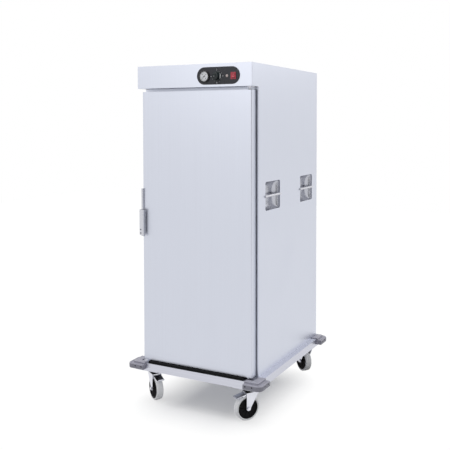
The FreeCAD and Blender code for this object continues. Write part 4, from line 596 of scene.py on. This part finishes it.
def moulded(name, tint, roughness, grain_scale, relief, contrast=0.10, dust=0.0, coat=0.0, gloss=0.3):
    """Plastic or rubber: fine grain, slight mottling and, where it lies open, some dust."""
    material, tree, shader, place = new_material(name)
    grain = group_node(tree, moulded_group, {"Vector": place, "Scale": grain_scale})
    tone = toned(tree, grain["Tone"], tint, contrast)
    if dust > 0:
        settled = group_node(tree, dust_group, {"Vector": place, "Amount": dust})
        tone = shade_between(tree, settled["Mask"], tone, DUST)
    spread = ranged(tree, grain["Tone"], 0.3, 0.7, roughness - 0.05, roughness + 0.05)
    fill(tree, shader, {"Base Color": tone, "Roughness": spread, "Specular IOR Level": gloss,
                        "Coat Weight": coat, "Coat Roughness": 0.12,
                        "Normal": bumped(tree, grain["Height"], relief, 0.0001)})
    return material


def above_forks(tree, place):
    """Mask of painted shade: the front swivel heads and top plates, which stand in the frame's shade, are darkened
    to near black.
    """
    parts = split(tree, place)
    head = ranged(tree, parts["Z"], 0.1402, 0.1408)
    return maths(tree, "MULTIPLY", head, ranged(tree, parts["Y"], 0.05, -0.05))


def underneath(tree, place):
    """Mask of painted shade: faces that look down, where the shade under the base frame is painted near black."""
    normal = add(tree, "ShaderNodeNewGeometry", {}).outputs["Normal"]
    return ranged(tree, split(tree, normal)["Z"], -0.5, -0.9, 0.0, 0.92)


def clear_lens(name):
    """Thin clear cover over the dial."""
    material, tree, shader, place = new_material(name)
    handled = group_node(tree, handling_group, {"Vector": place, "Scale": 60.0})
    fill(tree, shader, {"Base Color": (0.97, 0.98, 1.0, 1.0), "Transmission Weight": 1.0, "IOR": 1.45,
                        "Roughness": ranged(tree, handled["Mask"], 0.0, 1.0, 0.02, 0.08)})
    return material


def make_materials(finishes):
    """Every finish of the cart by its name, which is that of its slot where the record has one."""
    upright_grain = (1100.0, 1100.0, 9.0)
    level_grain = (9.0, 1100.0, 1100.0)
    plated = (160.0, 160.0, 160.0)
    # colour, roughness, stretch of the grain, contrast, handling marks, relief, where shade is painted as near
    # black
    metals = {
        "satin_steel": (finishes.satin_steel, finishes.satin_roughness, upright_grain, 0.02, 0.05, 0.10),
        "rail_steel": (finishes.rail_steel, 0.34, level_grain, 0.06, 0.10, 0.30, underneath),
        "liner_steel": (finishes.liner_steel, 0.30, upright_grain, 0.05, 0.08, 0.15),
        "polished_steel": (finishes.polished_steel, finishes.polished_roughness, upright_grain, 0.04, 0.06,
                           0.05),
        "cup_steel": (finishes.cup_steel, 0.27, level_grain, 0.05, 0.08, 0.05),
        "zinc_steel": (finishes.zinc, 0.27, plated, 0.07, 0.10, 0.10, above_forks),
        "pedal_steel": (finishes.zinc, 0.24, plated, 0.06, 0.10, 0.10),
        "heater_tube": (finishes.heater_tube, 0.45, level_grain, 0.2, 0.1, 0.2),
        "dark_screw": (finishes.dark_screw, 0.35, (700.0, 700.0, 700.0), 0.15),
    }
    # colour, roughness, scale of the grain, relief, contrast, dust, coat, gloss
    plastics = {
        "insulation_foam": (finishes.foam, 0.85, 500.0, 0.6, 0.12),
        "control_black": (finishes.plate_black, 0.30, 240.0, 0.03, 0.06, 0.0, 0.15),
        "black_plastic": (finishes.plastic_black, 0.42, 1100.0, 0.25),
        "knob_black": (finishes.knob_black, 0.28, 1100.0, 0.12),
        "needle_black": (finishes.plastic_black, 0.35, 1200.0, 0.05),
        "lamp_lens": (finishes.lamp, 0.18, 600.0, 0.05, 0.05, 0.0, 0.5),
        "switch_red": (finishes.switch_red, 0.25, 900.0, 0.08, 0.05, 0.0, 0.4),
        "bumper_grey": (finishes.bumper, 0.46, 700.0, 0.35, 0.10, 0.25),
        "black_rubber": (finishes.rubber, 0.70, 800.0, 0.35, 0.15, 0.0, 0.0, 0.12),
        "tyre_white": (finishes.tyre, 0.45, 600.0, 0.20, 0.03, 0.03),
        "core_black": (finishes.core, 0.45, 700.0, 0.20, 0.15, 0.02, 0.0, 0.08),
        "dial_white": (finishes.dial_white, 0.50, 900.0, 0.03, 0.02),
        "print_white": (finishes.print_white, 0.45, 900.0, 0.03, 0.02),
    }
    made = {name: brushed_metal(name, *values) for name, values in metals.items()}
    made.update({name: moulded(name, *values) for name, values in plastics.items()})
    made["clear_lens"] = clear_lens("clear_lens")
    return made


# ---- operators ----
class CART_OT_finishes(bpy.types.Operator):
    """Make the materials and put each on the nodes whose slot it is"""
    bl_idname = "cart.finishes"
    bl_label = "Finishes"

    def execute(self, context):
        MATERIALS.update(make_materials(context.scene.cart_finishes))
        for part in frame["record"]["subparts"]:
            finish = "pedal_steel" if part["node"].startswith("brake_pedal") else part["material_slot"]
            for place in frame["nodes"][part["node"]].material_slots:
                place.material = MATERIALS[finish]
        return {"FINISHED"}


def cup_surface(centre_y, centre_z, rim_x, side, sizes, half_height):
    """A pressed cup. Rows run from the flange's edge over the rim and down the wall, which follows a
    quarter ellipse, to the crowned back, where they close on the middle: at angle t the outline is drawn in
    by inset (1 - cos t) and lies depth sin t behind the panel; on the back the outline shrinks to a point."""
    half_width = sizes.cup_width / 2
    flange = sizes.cup_flange
    rows = [rounded_outline(half_width + flange, half_height + flange, sizes.cup_corner + flange)]
    depths = [0.0]
    for angle in np.radians(np.linspace(0, 90, 13)):
        inset = sizes.cup_inset * (1 - math.cos(angle))
        rows.append(rounded_outline(half_width - inset, half_height - inset, sizes.cup_corner + inset / 2))
        depths.append(sizes.cup_depth * math.sin(angle))
    back = rows[-1]
    for part in np.linspace(1, 0, 11)[1:]:
        rows.append(back * part)
        depths.append(sizes.cup_depth - sizes.cup_crown * (1 - part * part))
    outline = np.array(rows)
    x = side * (rim_x - np.array(depths)[:, None] * np.ones(outline.shape[1]))
    points = np.stack([x, centre_y + outline[:, :, 0], centre_z + outline[:, :, 1]], -1)
    return points, grid_faces(*outline.shape[:2])


class CART_OT_handles(bpy.types.Operator):
    """Dished cups of the four push handles, pressed from sheet"""
    bl_idname = "cart.handles"
    bl_label = "Push handles"

    def execute(self, context):
        sizes = context.scene.cart_sizes
        for side, word in ((-1, "left"), (1, "right")):
            node = "handle_cups_" + word
            low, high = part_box(node)
            rim_x = max(abs(low.x), abs(high.x))
            half_height = (high.z - low.z) / 2 - sizes.cup_flange
            reach = sizes.cup_flange + sizes.cup_width / 2
            parts = [cup_surface(y, (low.z + high.z) / 2, rim_x - sizes.cup_sheet / 2, side, sizes,
                                 half_height) for y in (low.y + reach, high.y - reach)]
            # The cups are drawn in the darker cup tint: painted shade of their recesses.
            piece = put_mesh("pressed_cups_" + word, merged(parts), "cup_steel", "cabinet", (node,),
                             "polished_steel")
            wall = piece.modifiers.new("Sheet", "SOLIDIFY")
            wall.thickness = sizes.cup_sheet
            wall.offset = 0.0
        return {"FINISHED"}


def tyre_profile(sizes, inner, half):
    """Half-round edges, a tread that falls off slightly to both sides and a fine line round its middle."""
    line = sizes.tyre_line
    tread = sizes.wheel_radius - line
    shoulder = sizes.tyre_shoulder
    flat = half - shoulder
    edge = bend((tread - shoulder, half), (tread, flat), (tread - shoulder, flat))
    middle = [(tread, 2 * line), (tread + line, line), (tread + line, -line), (tread, -2 * line)]
    other = [(radius, -height) for radius, height in edge[::-1]]
    return [(inner, half), *edge, *middle, *other, (inner, -half)]


def core_profile(sizes, half):
    """Boss, dish and rim of one side, then the same mirrored."""
    hub = sizes.hub_radius
    dish = sizes.dish_half
    rim = sizes.core_radius - sizes.core_rim
    side = [(sizes.axle_hole, sizes.hub_half), (hub - 0.001, sizes.hub_half), (hub, sizes.hub_half - 0.001),
            (hub + 0.0015, dish + 0.0015)]
    side += [(radius, dish) for radius in np.linspace(hub + 0.003, rim - 0.001, 7)]
    side += [(rim, dish + 0.001), (rim + 0.0015, half - 0.001), (rim + 0.0025, half),
             (sizes.core_radius, half)]
    return side + [(radius, -height) for radius, height in reversed(side)]


# a seal's profile with one groove: how far inside its radius, and how high above the swivel joint
SEAL = ((0.004, 0.003), (0.001, 0.003), (0.0, 0.004), (0.0, 0.0075), (0.001, 0.0085), (0.001, 0.010),
        (0.0, 0.011), (0.0, 0.0185), (0.004, 0.0185))


class CART_OT_wheels(bpy.types.Operator):
    """Moulded tyres, spoked cores and swivel seals of the four casters"""
    bl_idname = "cart.wheels"
    bl_label = "Caster wheels"

    def execute(self, context):
        sizes = context.scene.cart_sizes

        def spoked(radius, height, angle):
            """Spokes: in the dish the height grows where cos(spokes x angle) is near its top."""
            ridge = np.clip((np.cos(sizes.spokes * angle) - 0.6) / 0.3, 0, 1)
            in_dish = np.abs(np.abs(height) - sizes.dish_half) < 1e-5
            return height + np.sign(height) * sizes.rib_height * ridge * in_dish

        seal = [(sizes.seal_radius - inset, height) for inset, height in SEAL]
        for corner in CORNERS:
            centre = joint_place("roll_" + corner)
            axis = JOINTS["roll_" + corner]["axis"]
            tyre = frame["nodes"]["tyre_" + corner].data
            along = (mesh_points(tyre) - np.array(centre)) @ (np.array(axis) / np.linalg.norm(axis))
            half = float(np.abs(along).max())
            put_mesh("moulded_tyre_" + corner,
                     revolved(tyre_profile(sizes, sizes.core_radius, half), centre, axis, 128),
                     "tyre_white", "wheel_" + corner, ("tyre_" + corner,))
            put_mesh("spoked_core_" + corner,
                     revolved(core_profile(sizes, half + 0.001), centre, axis, 160, spoked),
                     "core_black", "wheel_" + corner, ("wheel_" + corner,))
            # The black seal rings are a real part, and their black also stands in for the shade under the frame:
            # partly painted shade.
            put_mesh("swivel_seal_" + corner, revolved(seal, joint_place("swivel_" + corner), UPWARD, 64),
                     "black_rubber", "cabinet")
        return {"FINISHED"}


def screw_shape(place, axis, radius, recess):
    """A low domed head with a cross: height falls with the square of the radius, and inside the cross,
    two bars at right angles that reach two thirds out, it drops by the recess."""
    dome = [(radius * part, 0.25 * radius * (1 - part * part)) for part in np.linspace(0, 1, 9)]

    def crossed(distance, height, angle):
        across = np.minimum(np.abs(np.cos(angle)), np.abs(np.sin(angle))) * distance
        inside = (across < 0.17 * radius) & (distance < 0.66 * radius) & (height > 0)
        return height - recess * inside

    return revolved(dome + [(radius, -0.0008), (0.0, -0.0008)], place, axis, 48, crossed)


class CART_OT_bumpers(bpy.types.Operator):
    """Ribs along the tops of the corner bumpers, and the heads of their screws"""
    bl_idname = "cart.bumpers"
    bl_label = "Bumpers"

    def execute(self, context):
        sizes = context.scene.cart_sizes
        for corner in CORNERS:
            low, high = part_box("bumper_" + corner)
            ribs = [tube(self.rib_path(sizes, low, high, sizes.rib_start + place * sizes.rib_pitch),
                         sizes.rib_radius) for place in range(2)]
            put_mesh("bumper_ribs_" + corner, merged(ribs), "bumper_grey", "cabinet")
        heads = [screw_shape(place, axis, sizes.screw_radius, sizes.screw_recess)
                 for place, axis in self.screw_places()]
        put_mesh("bumper_screw_heads", merged(heads), "dark_screw", "cabinet")
        return {"FINISHED"}

    def rib_path(self, sizes, low, high, inset):
        """An L with a round corner, the inset in from the bumper's outer faces: an arm along X, a quarter
        circle, an arm along Y; built for the corner at +X +Y and turned to its place by two signs."""
        signs = np.sign([high.x + low.x, high.y + low.y])
        x = max(abs(low.x), abs(high.x)) - inset
        y = max(abs(low.y), abs(high.y)) - inset
        stop_x = min(abs(low.x), abs(high.x)) + 0.004
        stop_y = min(abs(low.y), abs(high.y)) + 0.004
        radius = max(sizes.bumper_corner - inset, 0.002)
        arc = bend((x - radius, y), (x, y - radius), (x - radius, y - radius), 8)
        arm_x = np.column_stack([np.linspace(stop_x, x - radius, 8)[:-1], np.full(7, y)])
        arm_y = np.column_stack([np.full(7, x), np.linspace(y - radius, stop_y, 8)[1:]])
        level = np.concatenate([arm_x, arc, arm_y]) * signs
        return np.column_stack([level, np.full(len(level), high.z - sizes.rib_drop)])

    def screw_places(self):
        """Middle and outward direction of each bumper screw, from the bounding boxes of the CAD screws:
        the longest side points outwards, and the head stands on its outer end."""
        places = []
        for points in loose_parts(frame["nodes"]["bumper_screws"].data):
            low = points.min(0)
            high = points.max(0)
            middle = (low + high) / 2
            side = int(np.argmax(high - low))
            axis = np.zeros(3)
            axis[side] = 1 if middle[side] > 0 else -1
            middle[side] = high[side] if middle[side] > 0 else low[side]
            places.append((middle - axis * 0.0002, axis))
        return places


class CART_OT_gasket(bpy.types.Operator):
    """Folded rubber gasket all round the door's back"""
    bl_idname = "cart.gasket"
    bl_label = "Door gasket"

    def execute(self, context):
        """The bellows' section, as (distance inwards, share of the depth), carried round a rectangle."""
        sizes = context.scene.cart_sizes
        low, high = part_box("door_gasket")
        wide = sizes.gasket_width
        inner = [(sizes.gasket_fold * (place % 2) + 0.0003, step)
                 for place, step in enumerate(np.linspace(0.12, 0.88, 6))]
        outer = [(wide - inset, step) for inset, step in reversed(inner)]
        section = [(0.0, 0.0), *inner, (0.003, 1.0), (wide - 0.003, 1.0), *outer, (wide, 0.0)]
        loops = []
        for inset, step in section:
            x = high.x - wide + inset
            z0 = low.z + wide - inset
            z1 = high.z - wide + inset
            y = low.y + (high.y - low.y) * step
            loops.append([(-x, y, z0), (x, y, z0), (x, y, z1), (-x, y, z1)])
        put_mesh("folded_gasket", (loops, grid_faces(len(section), 4, True)), "black_rubber", "door",
                 ("door_gasket",), smooth=False)
        return {"FINISHED"}


class CART_OT_controls(bpy.types.Operator):
    """White dial with ticks and plain numbers, knob scale, knob index, a painted highlight on the knob's skirt,
    and switch marks
    """
    bl_idname = "cart.controls"
    bl_label = "Controls"

    def execute(self, context):
        sizes = context.scene.cart_sizes
        self.dial(sizes, sizes.print_height)
        self.plate(sizes)
        self.knob_marks(sizes, sizes.print_height)
        self.switch_marks(sizes.print_height)
        return {"FINISHED"}

    def dial(self, sizes, thin):
        """A disc behind the needle with fine and broad ticks and numbers, over three quarters of a turn."""
        needle = joint_place("needle_sweep")
        centre = np.array([needle.x, needle.z])
        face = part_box("thermometer_needle")[1].y + 0.0002
        radius = sizes.dial_radius
        put_mesh("dial_face", plate_on_front(centre + radius * ring_points(96), face + 0.0001, 0.0001),
                 "dial_white", "cabinet", smooth=False)
        marks = round_numbers(centre, radius * 0.60, radius * 0.16, np.arange(-135, 136, 90),
                              sizes.dial_numbers, face, thin)
        for inner, width, step in ((0.86, 0.0004, 9), (0.80, 0.0008, 45)):
            marks += round_marks(centre, radius * inner, radius * 0.96, width, np.arange(-135, 136, step),
                                 face, thin)
        put_mesh("dial_marks", merged(marks), "needle_black", "cabinet", smooth=False)

    def plate(self, sizes):
        """Obround plate with a softened rim: two half circles joined by straight sides."""
        low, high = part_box("control_plate")
        radius = sizes.plate_height / 2
        end = radius * round_points(np.linspace(math.pi / 2, -math.pi / 2, 33))
        end += (sizes.plate_width / 2 - radius, 0)
        middle = np.array([(low.x + high.x) / 2, (low.z + high.z) / 2]) + sizes.plate_offset
        outline = middle + np.concatenate([end, -end])
        soften(put_mesh("obround_plate", plate_on_front(outline, high.y, high.y - low.y), "control_black",
                        "cabinet", ("control_plate",)), 0.0006)

    def knob_marks(self, sizes, thin):
        """Ticks and numbers round the knob; on the knob a dot and, on its skirt, a pale arc whose width falls as a
        cosine to both ends, a painted highlight of the skirt's edge."""
        pivot = joint_place("thermostat_turn")
        knob = np.array([pivot.x, pivot.z])
        low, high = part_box("thermostat_knob")
        plate_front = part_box("control_plate")[0].y
        skirt = (high.x - low.x) / 2
        scale = round_marks(knob, skirt + 0.0020, skirt + 0.0048, 0.0009, np.arange(0, 271, 30), plate_front,
                            thin)
        scale += round_numbers(knob, skirt + 0.0085, 0.0042, np.arange(0, 271, 90), sizes.dial_numbers,
                               plate_front, thin)
        put_mesh("knob_scale", merged(scale), "print_white", "cabinet", smooth=False)
        dot = plate_on_front(knob + 0.0018 * ring_points(24) - (0.0040, 0.0), low.y, thin)
        # The pale arc on the knob's skirt is a painted highlight.
        angle = np.radians(np.linspace(-42, 42, 19))
        way = round_points(angle)
        outer = way * (skirt - 0.0005)
        inner = outer - 0.005 * way * np.cos(angle / angle[-1] * math.pi / 2)[:, None]
        skirt_front = plate_front - RUNNING_GAP - sizes.knob_skirt
        highlight_crescent = plate_on_front(knob + np.concatenate([outer, inner[-2:0:-1]]), skirt_front, thin)
        put_mesh("knob_index_and_highlight", merged([dot, highlight_crescent]), "print_white", "knob", smooth=False)

    def switch_marks(self, thin):
        """A bar on the upper half of the rocker and a ring on the lower, as on any mains switch. Each
        slope runs from the valley at the pivot to the foremost points at the rocker's top and bottom."""
        pivot = joint_place("power_press")
        points = mesh_points(frame["nodes"]["power_rocker"].data)
        levels = np.unique(points[:, 1].round(5))
        front = points[points[:, 1] < levels[2] + 1e-5]
        front = front[np.argsort(front[:, 2])]
        valley = points[np.abs(points[:, 2] - pivot.z) < 0.0012]
        valley = valley[np.argmin(valley[:, 1])]
        parts = []
        for corner, ring in ((front[-1], False), (front[0], True)):
            start = valley * 0.62 + corner * 0.38
            end = valley * 0.28 + corner * 0.72
            start[0] = end[0] = pivot.x
            parts.append(self.mark_on_slope(start, end, ring, thin))
        put_mesh("switch_marks", merged(parts), "print_white", "rocker", smooth=False)

    def mark_on_slope(self, start, end, ring, thin):
        """A printed bar or ring lying on the slope between two points of the rocker's face."""
        middle = (start + end) / 2
        reach = np.linalg.norm(end - start) / 2
        along = (end - start) / 2 / reach
        outward = np.cross([1.0, 0.0, 0.0], along)
        outward *= -np.sign(outward[1])
        if ring:
            band = [(reach * 0.70, 0.0), (reach, 0.0), (reach, thin), (reach * 0.70, thin)]
            return revolved(band, middle, outward, 48)
        side = np.array([reach * 0.16, 0.0, 0.0])
        tip = along * reach
        base = np.array([middle - side - tip, middle + side - tip, middle + side + tip, middle - side + tip])
        return capped(base, base + outward * thin)


def corner_box(x0, x1, y0, y1, radius, steps=5):
    """Outline of a rectangle in the X-Y plane whose two front corners are round."""
    left = bend((x0, y0 + radius), (x0 + radius, y0), (x0 + radius, y0 + radius), steps)
    right = bend((x1 - radius, y0), (x1, y0 + radius), (x1 - radius, y0 + radius), steps)
    return [(x0, y1), *left, *right, (x1, y1)]


class CART_OT_latch(bpy.types.Operator):
    """Edge latch: folded pull grip with its hub, and the mount with neck, ears and pin"""
    bl_idname = "cart.latch"
    bl_label = "Door latch"

    def execute(self, context):
        sizes = context.scene.cart_sizes
        low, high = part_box("latch_grip")
        pivot = joint_place("latch_pull")
        bottom = high.z - sizes.grip_length
        ears = (bottom + 0.011, high.z - 0.024)
        self.grip(sizes, pivot, low, high, bottom, ears)
        middle = (low.x + high.x) / 2 - 0.003
        heads = [screw_shape((middle, low.y - 0.0001, bottom + rise), (0, -1, 0), sizes.grip_screw,
                             sizes.grip_recess) for rise in (0.017, 0.036)]
        put_mesh("grip_screws", merged(heads), "dark_screw", "latch_lever")
        self.mount(sizes, pivot, bottom, ears)
        return {"FINISHED"}

    def grip(self, sizes, pivot, low, high, bottom, ears):
        """A J-shaped fold: side wall, front, and a lip on the right that fingers hook behind; between the
        ears a hub round the pin and a web from it to the side wall."""
        sheet = sizes.grip_sheet
        outer = corner_box(low.x, high.x, low.y, high.y, sizes.grip_bend)
        inner = corner_box(low.x + sheet, high.x - sheet, low.y + sheet, high.y, sizes.grip_bend - sheet)
        lip = low.y + sizes.grip_lip
        outline = outer[:-1] + [(high.x, lip), (high.x - sheet, lip)] + inner[-2::-1]
        foot = ears[0] + sizes.ear_height + RUNNING_GAP
        top = ears[1] - RUNNING_GAP
        bore = sizes.pin_radius + 0.0002
        rim = sizes.grip_hub
        hub = [(bore, foot), (rim, foot), (rim, top), (bore, top)]
        x0, x1 = low.x + 0.001, pivot.x - 0.003
        y0, y1 = pivot.y - 0.0015, pivot.y + 0.0015
        parts = [upright(outline, bottom, high.z, sizes.grip_slant),
                 revolved(hub, (pivot.x, pivot.y, 0), UPWARD, 32),
                 upright([(x0, y0), (x1, y0), (x1, y1), (x0, y1)], foot, top)]
        soften(put_mesh("folded_grip", merged(parts), "polished_steel", "latch_lever", ("latch_grip",)),
               0.0005)

    def mount(self, sizes, pivot, bottom, ears):
        """Plate on the door's edge, slim neck above it, two ears that reach out to the pin, and the pin."""
        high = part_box("latch_base")[1]
        x0 = high.x - 0.022
        x1 = x0 + sizes.mount_width
        neck_x = x0 - 0.005
        face = high.y
        sheet = 0.003
        plate = [(x0, face), (x0, face - sheet), (x1, face - sheet), (x1, face)]
        neck = corner_box(neck_x, neck_x + sizes.neck_width, face - 0.011, face - RUNNING_GAP, 0.003)
        ear = [(pivot.x, pivot.y - 0.004), (x0 + 0.009, face - 0.002), (x0, face - 0.002),
               (pivot.x - 0.004, pivot.y)]
        radius = sizes.pin_radius
        top = ears[1] + sizes.ear_height
        pin = [(0.0, ears[0]), (radius, ears[0]), (radius, top), (0.0, top)]
        parts = [upright(plate, bottom + 0.005, high.z - 0.105), upright(neck, high.z - 0.112, high.z),
                 *(upright(ear, level, level + sizes.ear_height) for level in ears),
                 revolved(pin, (pivot.x, pivot.y, 0), UPWARD, 24)]
        soften(put_mesh("latch_mount", merged(parts), "polished_steel", "door", ("latch_base",)), 0.0005)


class CART_OT_stage(bpy.types.Operator):
    """Pale floor, soft lamps, white surroundings and the camera at the picture's angle"""
    bl_idname = "cart.stage"
    bl_label = "Stage"

    def execute(self, context):
        stage = context.scene.cart_stage
        make_floor(stage)
        make_world(context.scene, stage)
        soft_lamp("key_lamp", (-1.2, -4.0, 3.2), (0.0, 0.0, 0.8), 3.2, stage.key_power)
        soft_lamp("top_lamp", (-0.16, 0.48, 7.0), (0.0, 0.0, 0.0), 4.8, stage.top_power)
        soft_lamp("fill_lamp", (2.3, 3.3, 3.4), (0.2, 0.0, 1.2), 2.4, stage.fill_power)
        make_camera(context.scene, stage)
        context.scene.view_settings.view_transform = "Standard"
        return {"FINISHED"}


def seen_mask(tree):
    """1 for rays that show the surroundings: from the camera, a reflection or through glass."""
    path = add(tree, "ShaderNodeLightPath", {}).outputs
    shown = maths(tree, "MAXIMUM", path["Is Camera Ray"], path["Is Glossy Ray"])
    return maths(tree, "MAXIMUM", shown, path["Is Transmission Ray"])


def make_floor(stage):
    """A pale sheet that keeps the cart's shadow in a middle rectangle. Over the fade's width beyond it, the
    floor's colour sinks to black while its own glow rises to the background's white."""
    half = stage.floor_size / 2
    mesh = bpy.data.meshes.new("floor")
    mesh.from_pydata([(-half, -half, 0), (half, -half, 0), (half, half, 0), (-half, half, 0)], [],
                     [(0, 1, 2, 3)])
    material, tree, shader, place = new_material("pale_floor")
    beyond = vector(tree, "ABSOLUTE", vector(tree, "SUBTRACT", place, (*stage.shade_centre, 0.0)))
    beyond = vector(tree, "SUBTRACT", beyond, (*stage.shade_half, 0.0))
    beyond = vector(tree, "MAXIMUM", beyond, (0.0, 0.0, 0.0))
    away = add(tree, "ShaderNodeVectorMath", {0: beyond}, operation="LENGTH").outputs["Value"]
    faded = ranged(tree, away, 0.0, stage.fade_width)
    glow = ranged(tree, faded, 0.0, 1.0, stage.floor_lift, 1.0)
    fill(tree, shader, {"Base Color": shade_between(tree, faded, stage.floor_colour, (0.0, 0.0, 0.0)),
                        "Roughness": ranged(tree, noise(tree, place, 6.0, 4.0), 0.3, 0.7, 0.72, 0.80),
                        "Specular IOR Level": 0.1, "Emission Color": (1.0, 1.0, 1.0, 1.0),
                        "Emission Strength": maths(tree, "MULTIPLY", seen_mask(tree), glow)})
    mesh.materials.append(material)
    new_object("floor", mesh)


def flagged(tree, stage):
    """1, less in an upright band of directions behind the camera, which only reflections see: a dark flag
    beside the studio's camera that draws a line along round edges."""
    way = split(tree, add(tree, "ShaderNodeTexCoord", {}).outputs["Generated"])
    around = maths(tree, "ARCTAN2", way["X"], maths(tree, "MULTIPLY", way["Y"], -1.0))
    distance = maths(tree, "ABSOLUTE", maths(tree, "SUBTRACT", around, stage.flag_turn))
    edge = stage.flag_width / 2
    dark = ranged(tree, distance, edge, edge + 0.08, stage.flag_depth, 0.0)
    glossy = add(tree, "ShaderNodeLightPath", {}).outputs["Is Glossy Ray"]
    return maths(tree, "SUBTRACT", 1.0, maths(tree, "MULTIPLY", glossy, dark))


def make_world(scene, stage):
    """Soft light from all round, and white wherever the surroundings themselves are seen."""
    world = bpy.data.worlds.new("surroundings")
    world.use_nodes = True
    tree = world.node_tree
    tree.nodes.clear()
    soft = add(tree, "ShaderNodeBackground", {"Color": (0.97, 0.98, 1.0, 1.0), "Strength": stage.world_level})
    white = add(tree, "ShaderNodeBackground", {"Color": (1.0, 1.0, 1.0, 1.0),
                                               "Strength": flagged(tree, stage)})
    mix = add(tree, "ShaderNodeMixShader", {0: seen_mask(tree), 1: soft.outputs[0], 2: white.outputs[0]})
    add(tree, "ShaderNodeOutputWorld", {"Surface": mix.outputs[0]})
    scene.world = world


def soft_lamp(name, place, target, size, strength):
    """A round area lamp that faces its target."""
    lamp = bpy.data.lights.new(name, "AREA")
    lamp.shape = "DISK"
    lamp.size = size
    lamp.energy = strength
    holder = new_object(name, lamp)
    holder.location = place
    holder.rotation_euler = (Vector(target) - Vector(place)).to_track_quat("-Z", "Y").to_euler()


def make_camera(scene, stage):
    camera = bpy.data.cameras.new("camera")
    camera.lens = stage.lens
    camera.sensor_width = 36.0
    camera.shift_x, camera.shift_y = stage.shift
    camera.clip_end = 100.0
    scene.camera = new_object("camera", camera)
    scene.camera.location = stage.camera_place
    scene.camera.rotation_euler = (math.pi / 2 - stage.camera_dip, 0.0, stage.camera_turn)


class CART_PT_dressing(bpy.types.Panel):
    """Lists the steps that dress the cart"""
    bl_idname = "CART_PT_dressing"
    bl_label = "Tray Cart"
    bl_space_type = "VIEW_3D"
    bl_region_type = "UI"
    bl_category = "Tray Cart"

    def draw(self, context):
        for operator in OPERATORS:
            self.layout.operator(operator.bl_idname)
        for name in SETTINGS:
            settings = getattr(context.scene, name)
            box = self.layout.box()
            for key in settings.__annotations__:
                box.prop(settings, key)


SETTINGS = {"cart_finishes": CartFinishes, "cart_sizes": CartSizes, "cart_stage": CartStage}
OPERATORS = (CART_OT_finishes, CART_OT_handles, CART_OT_wheels, CART_OT_bumpers, CART_OT_gasket,
             CART_OT_controls, CART_OT_latch, CART_OT_stage)


def register():
    for cls in (*SETTINGS.values(), *OPERATORS, CART_PT_dressing):
        bpy.utils.register_class(cls)
    for name, cls in SETTINGS.items():
        setattr(bpy.types.Scene, name, PointerProperty(type=cls))


def unregister():
    for name in SETTINGS:
        delattr(bpy.types.Scene, name)
    for cls in (CART_PT_dressing, *reversed(OPERATORS), *SETTINGS.values()):
        bpy.utils.unregister_class(cls)


def main():
    register()
    for operator in OPERATORS:
        group, name = operator.bl_idname.split(".")
        getattr(getattr(bpy.ops, group), name)()


if __name__ == "__main__":
    main()
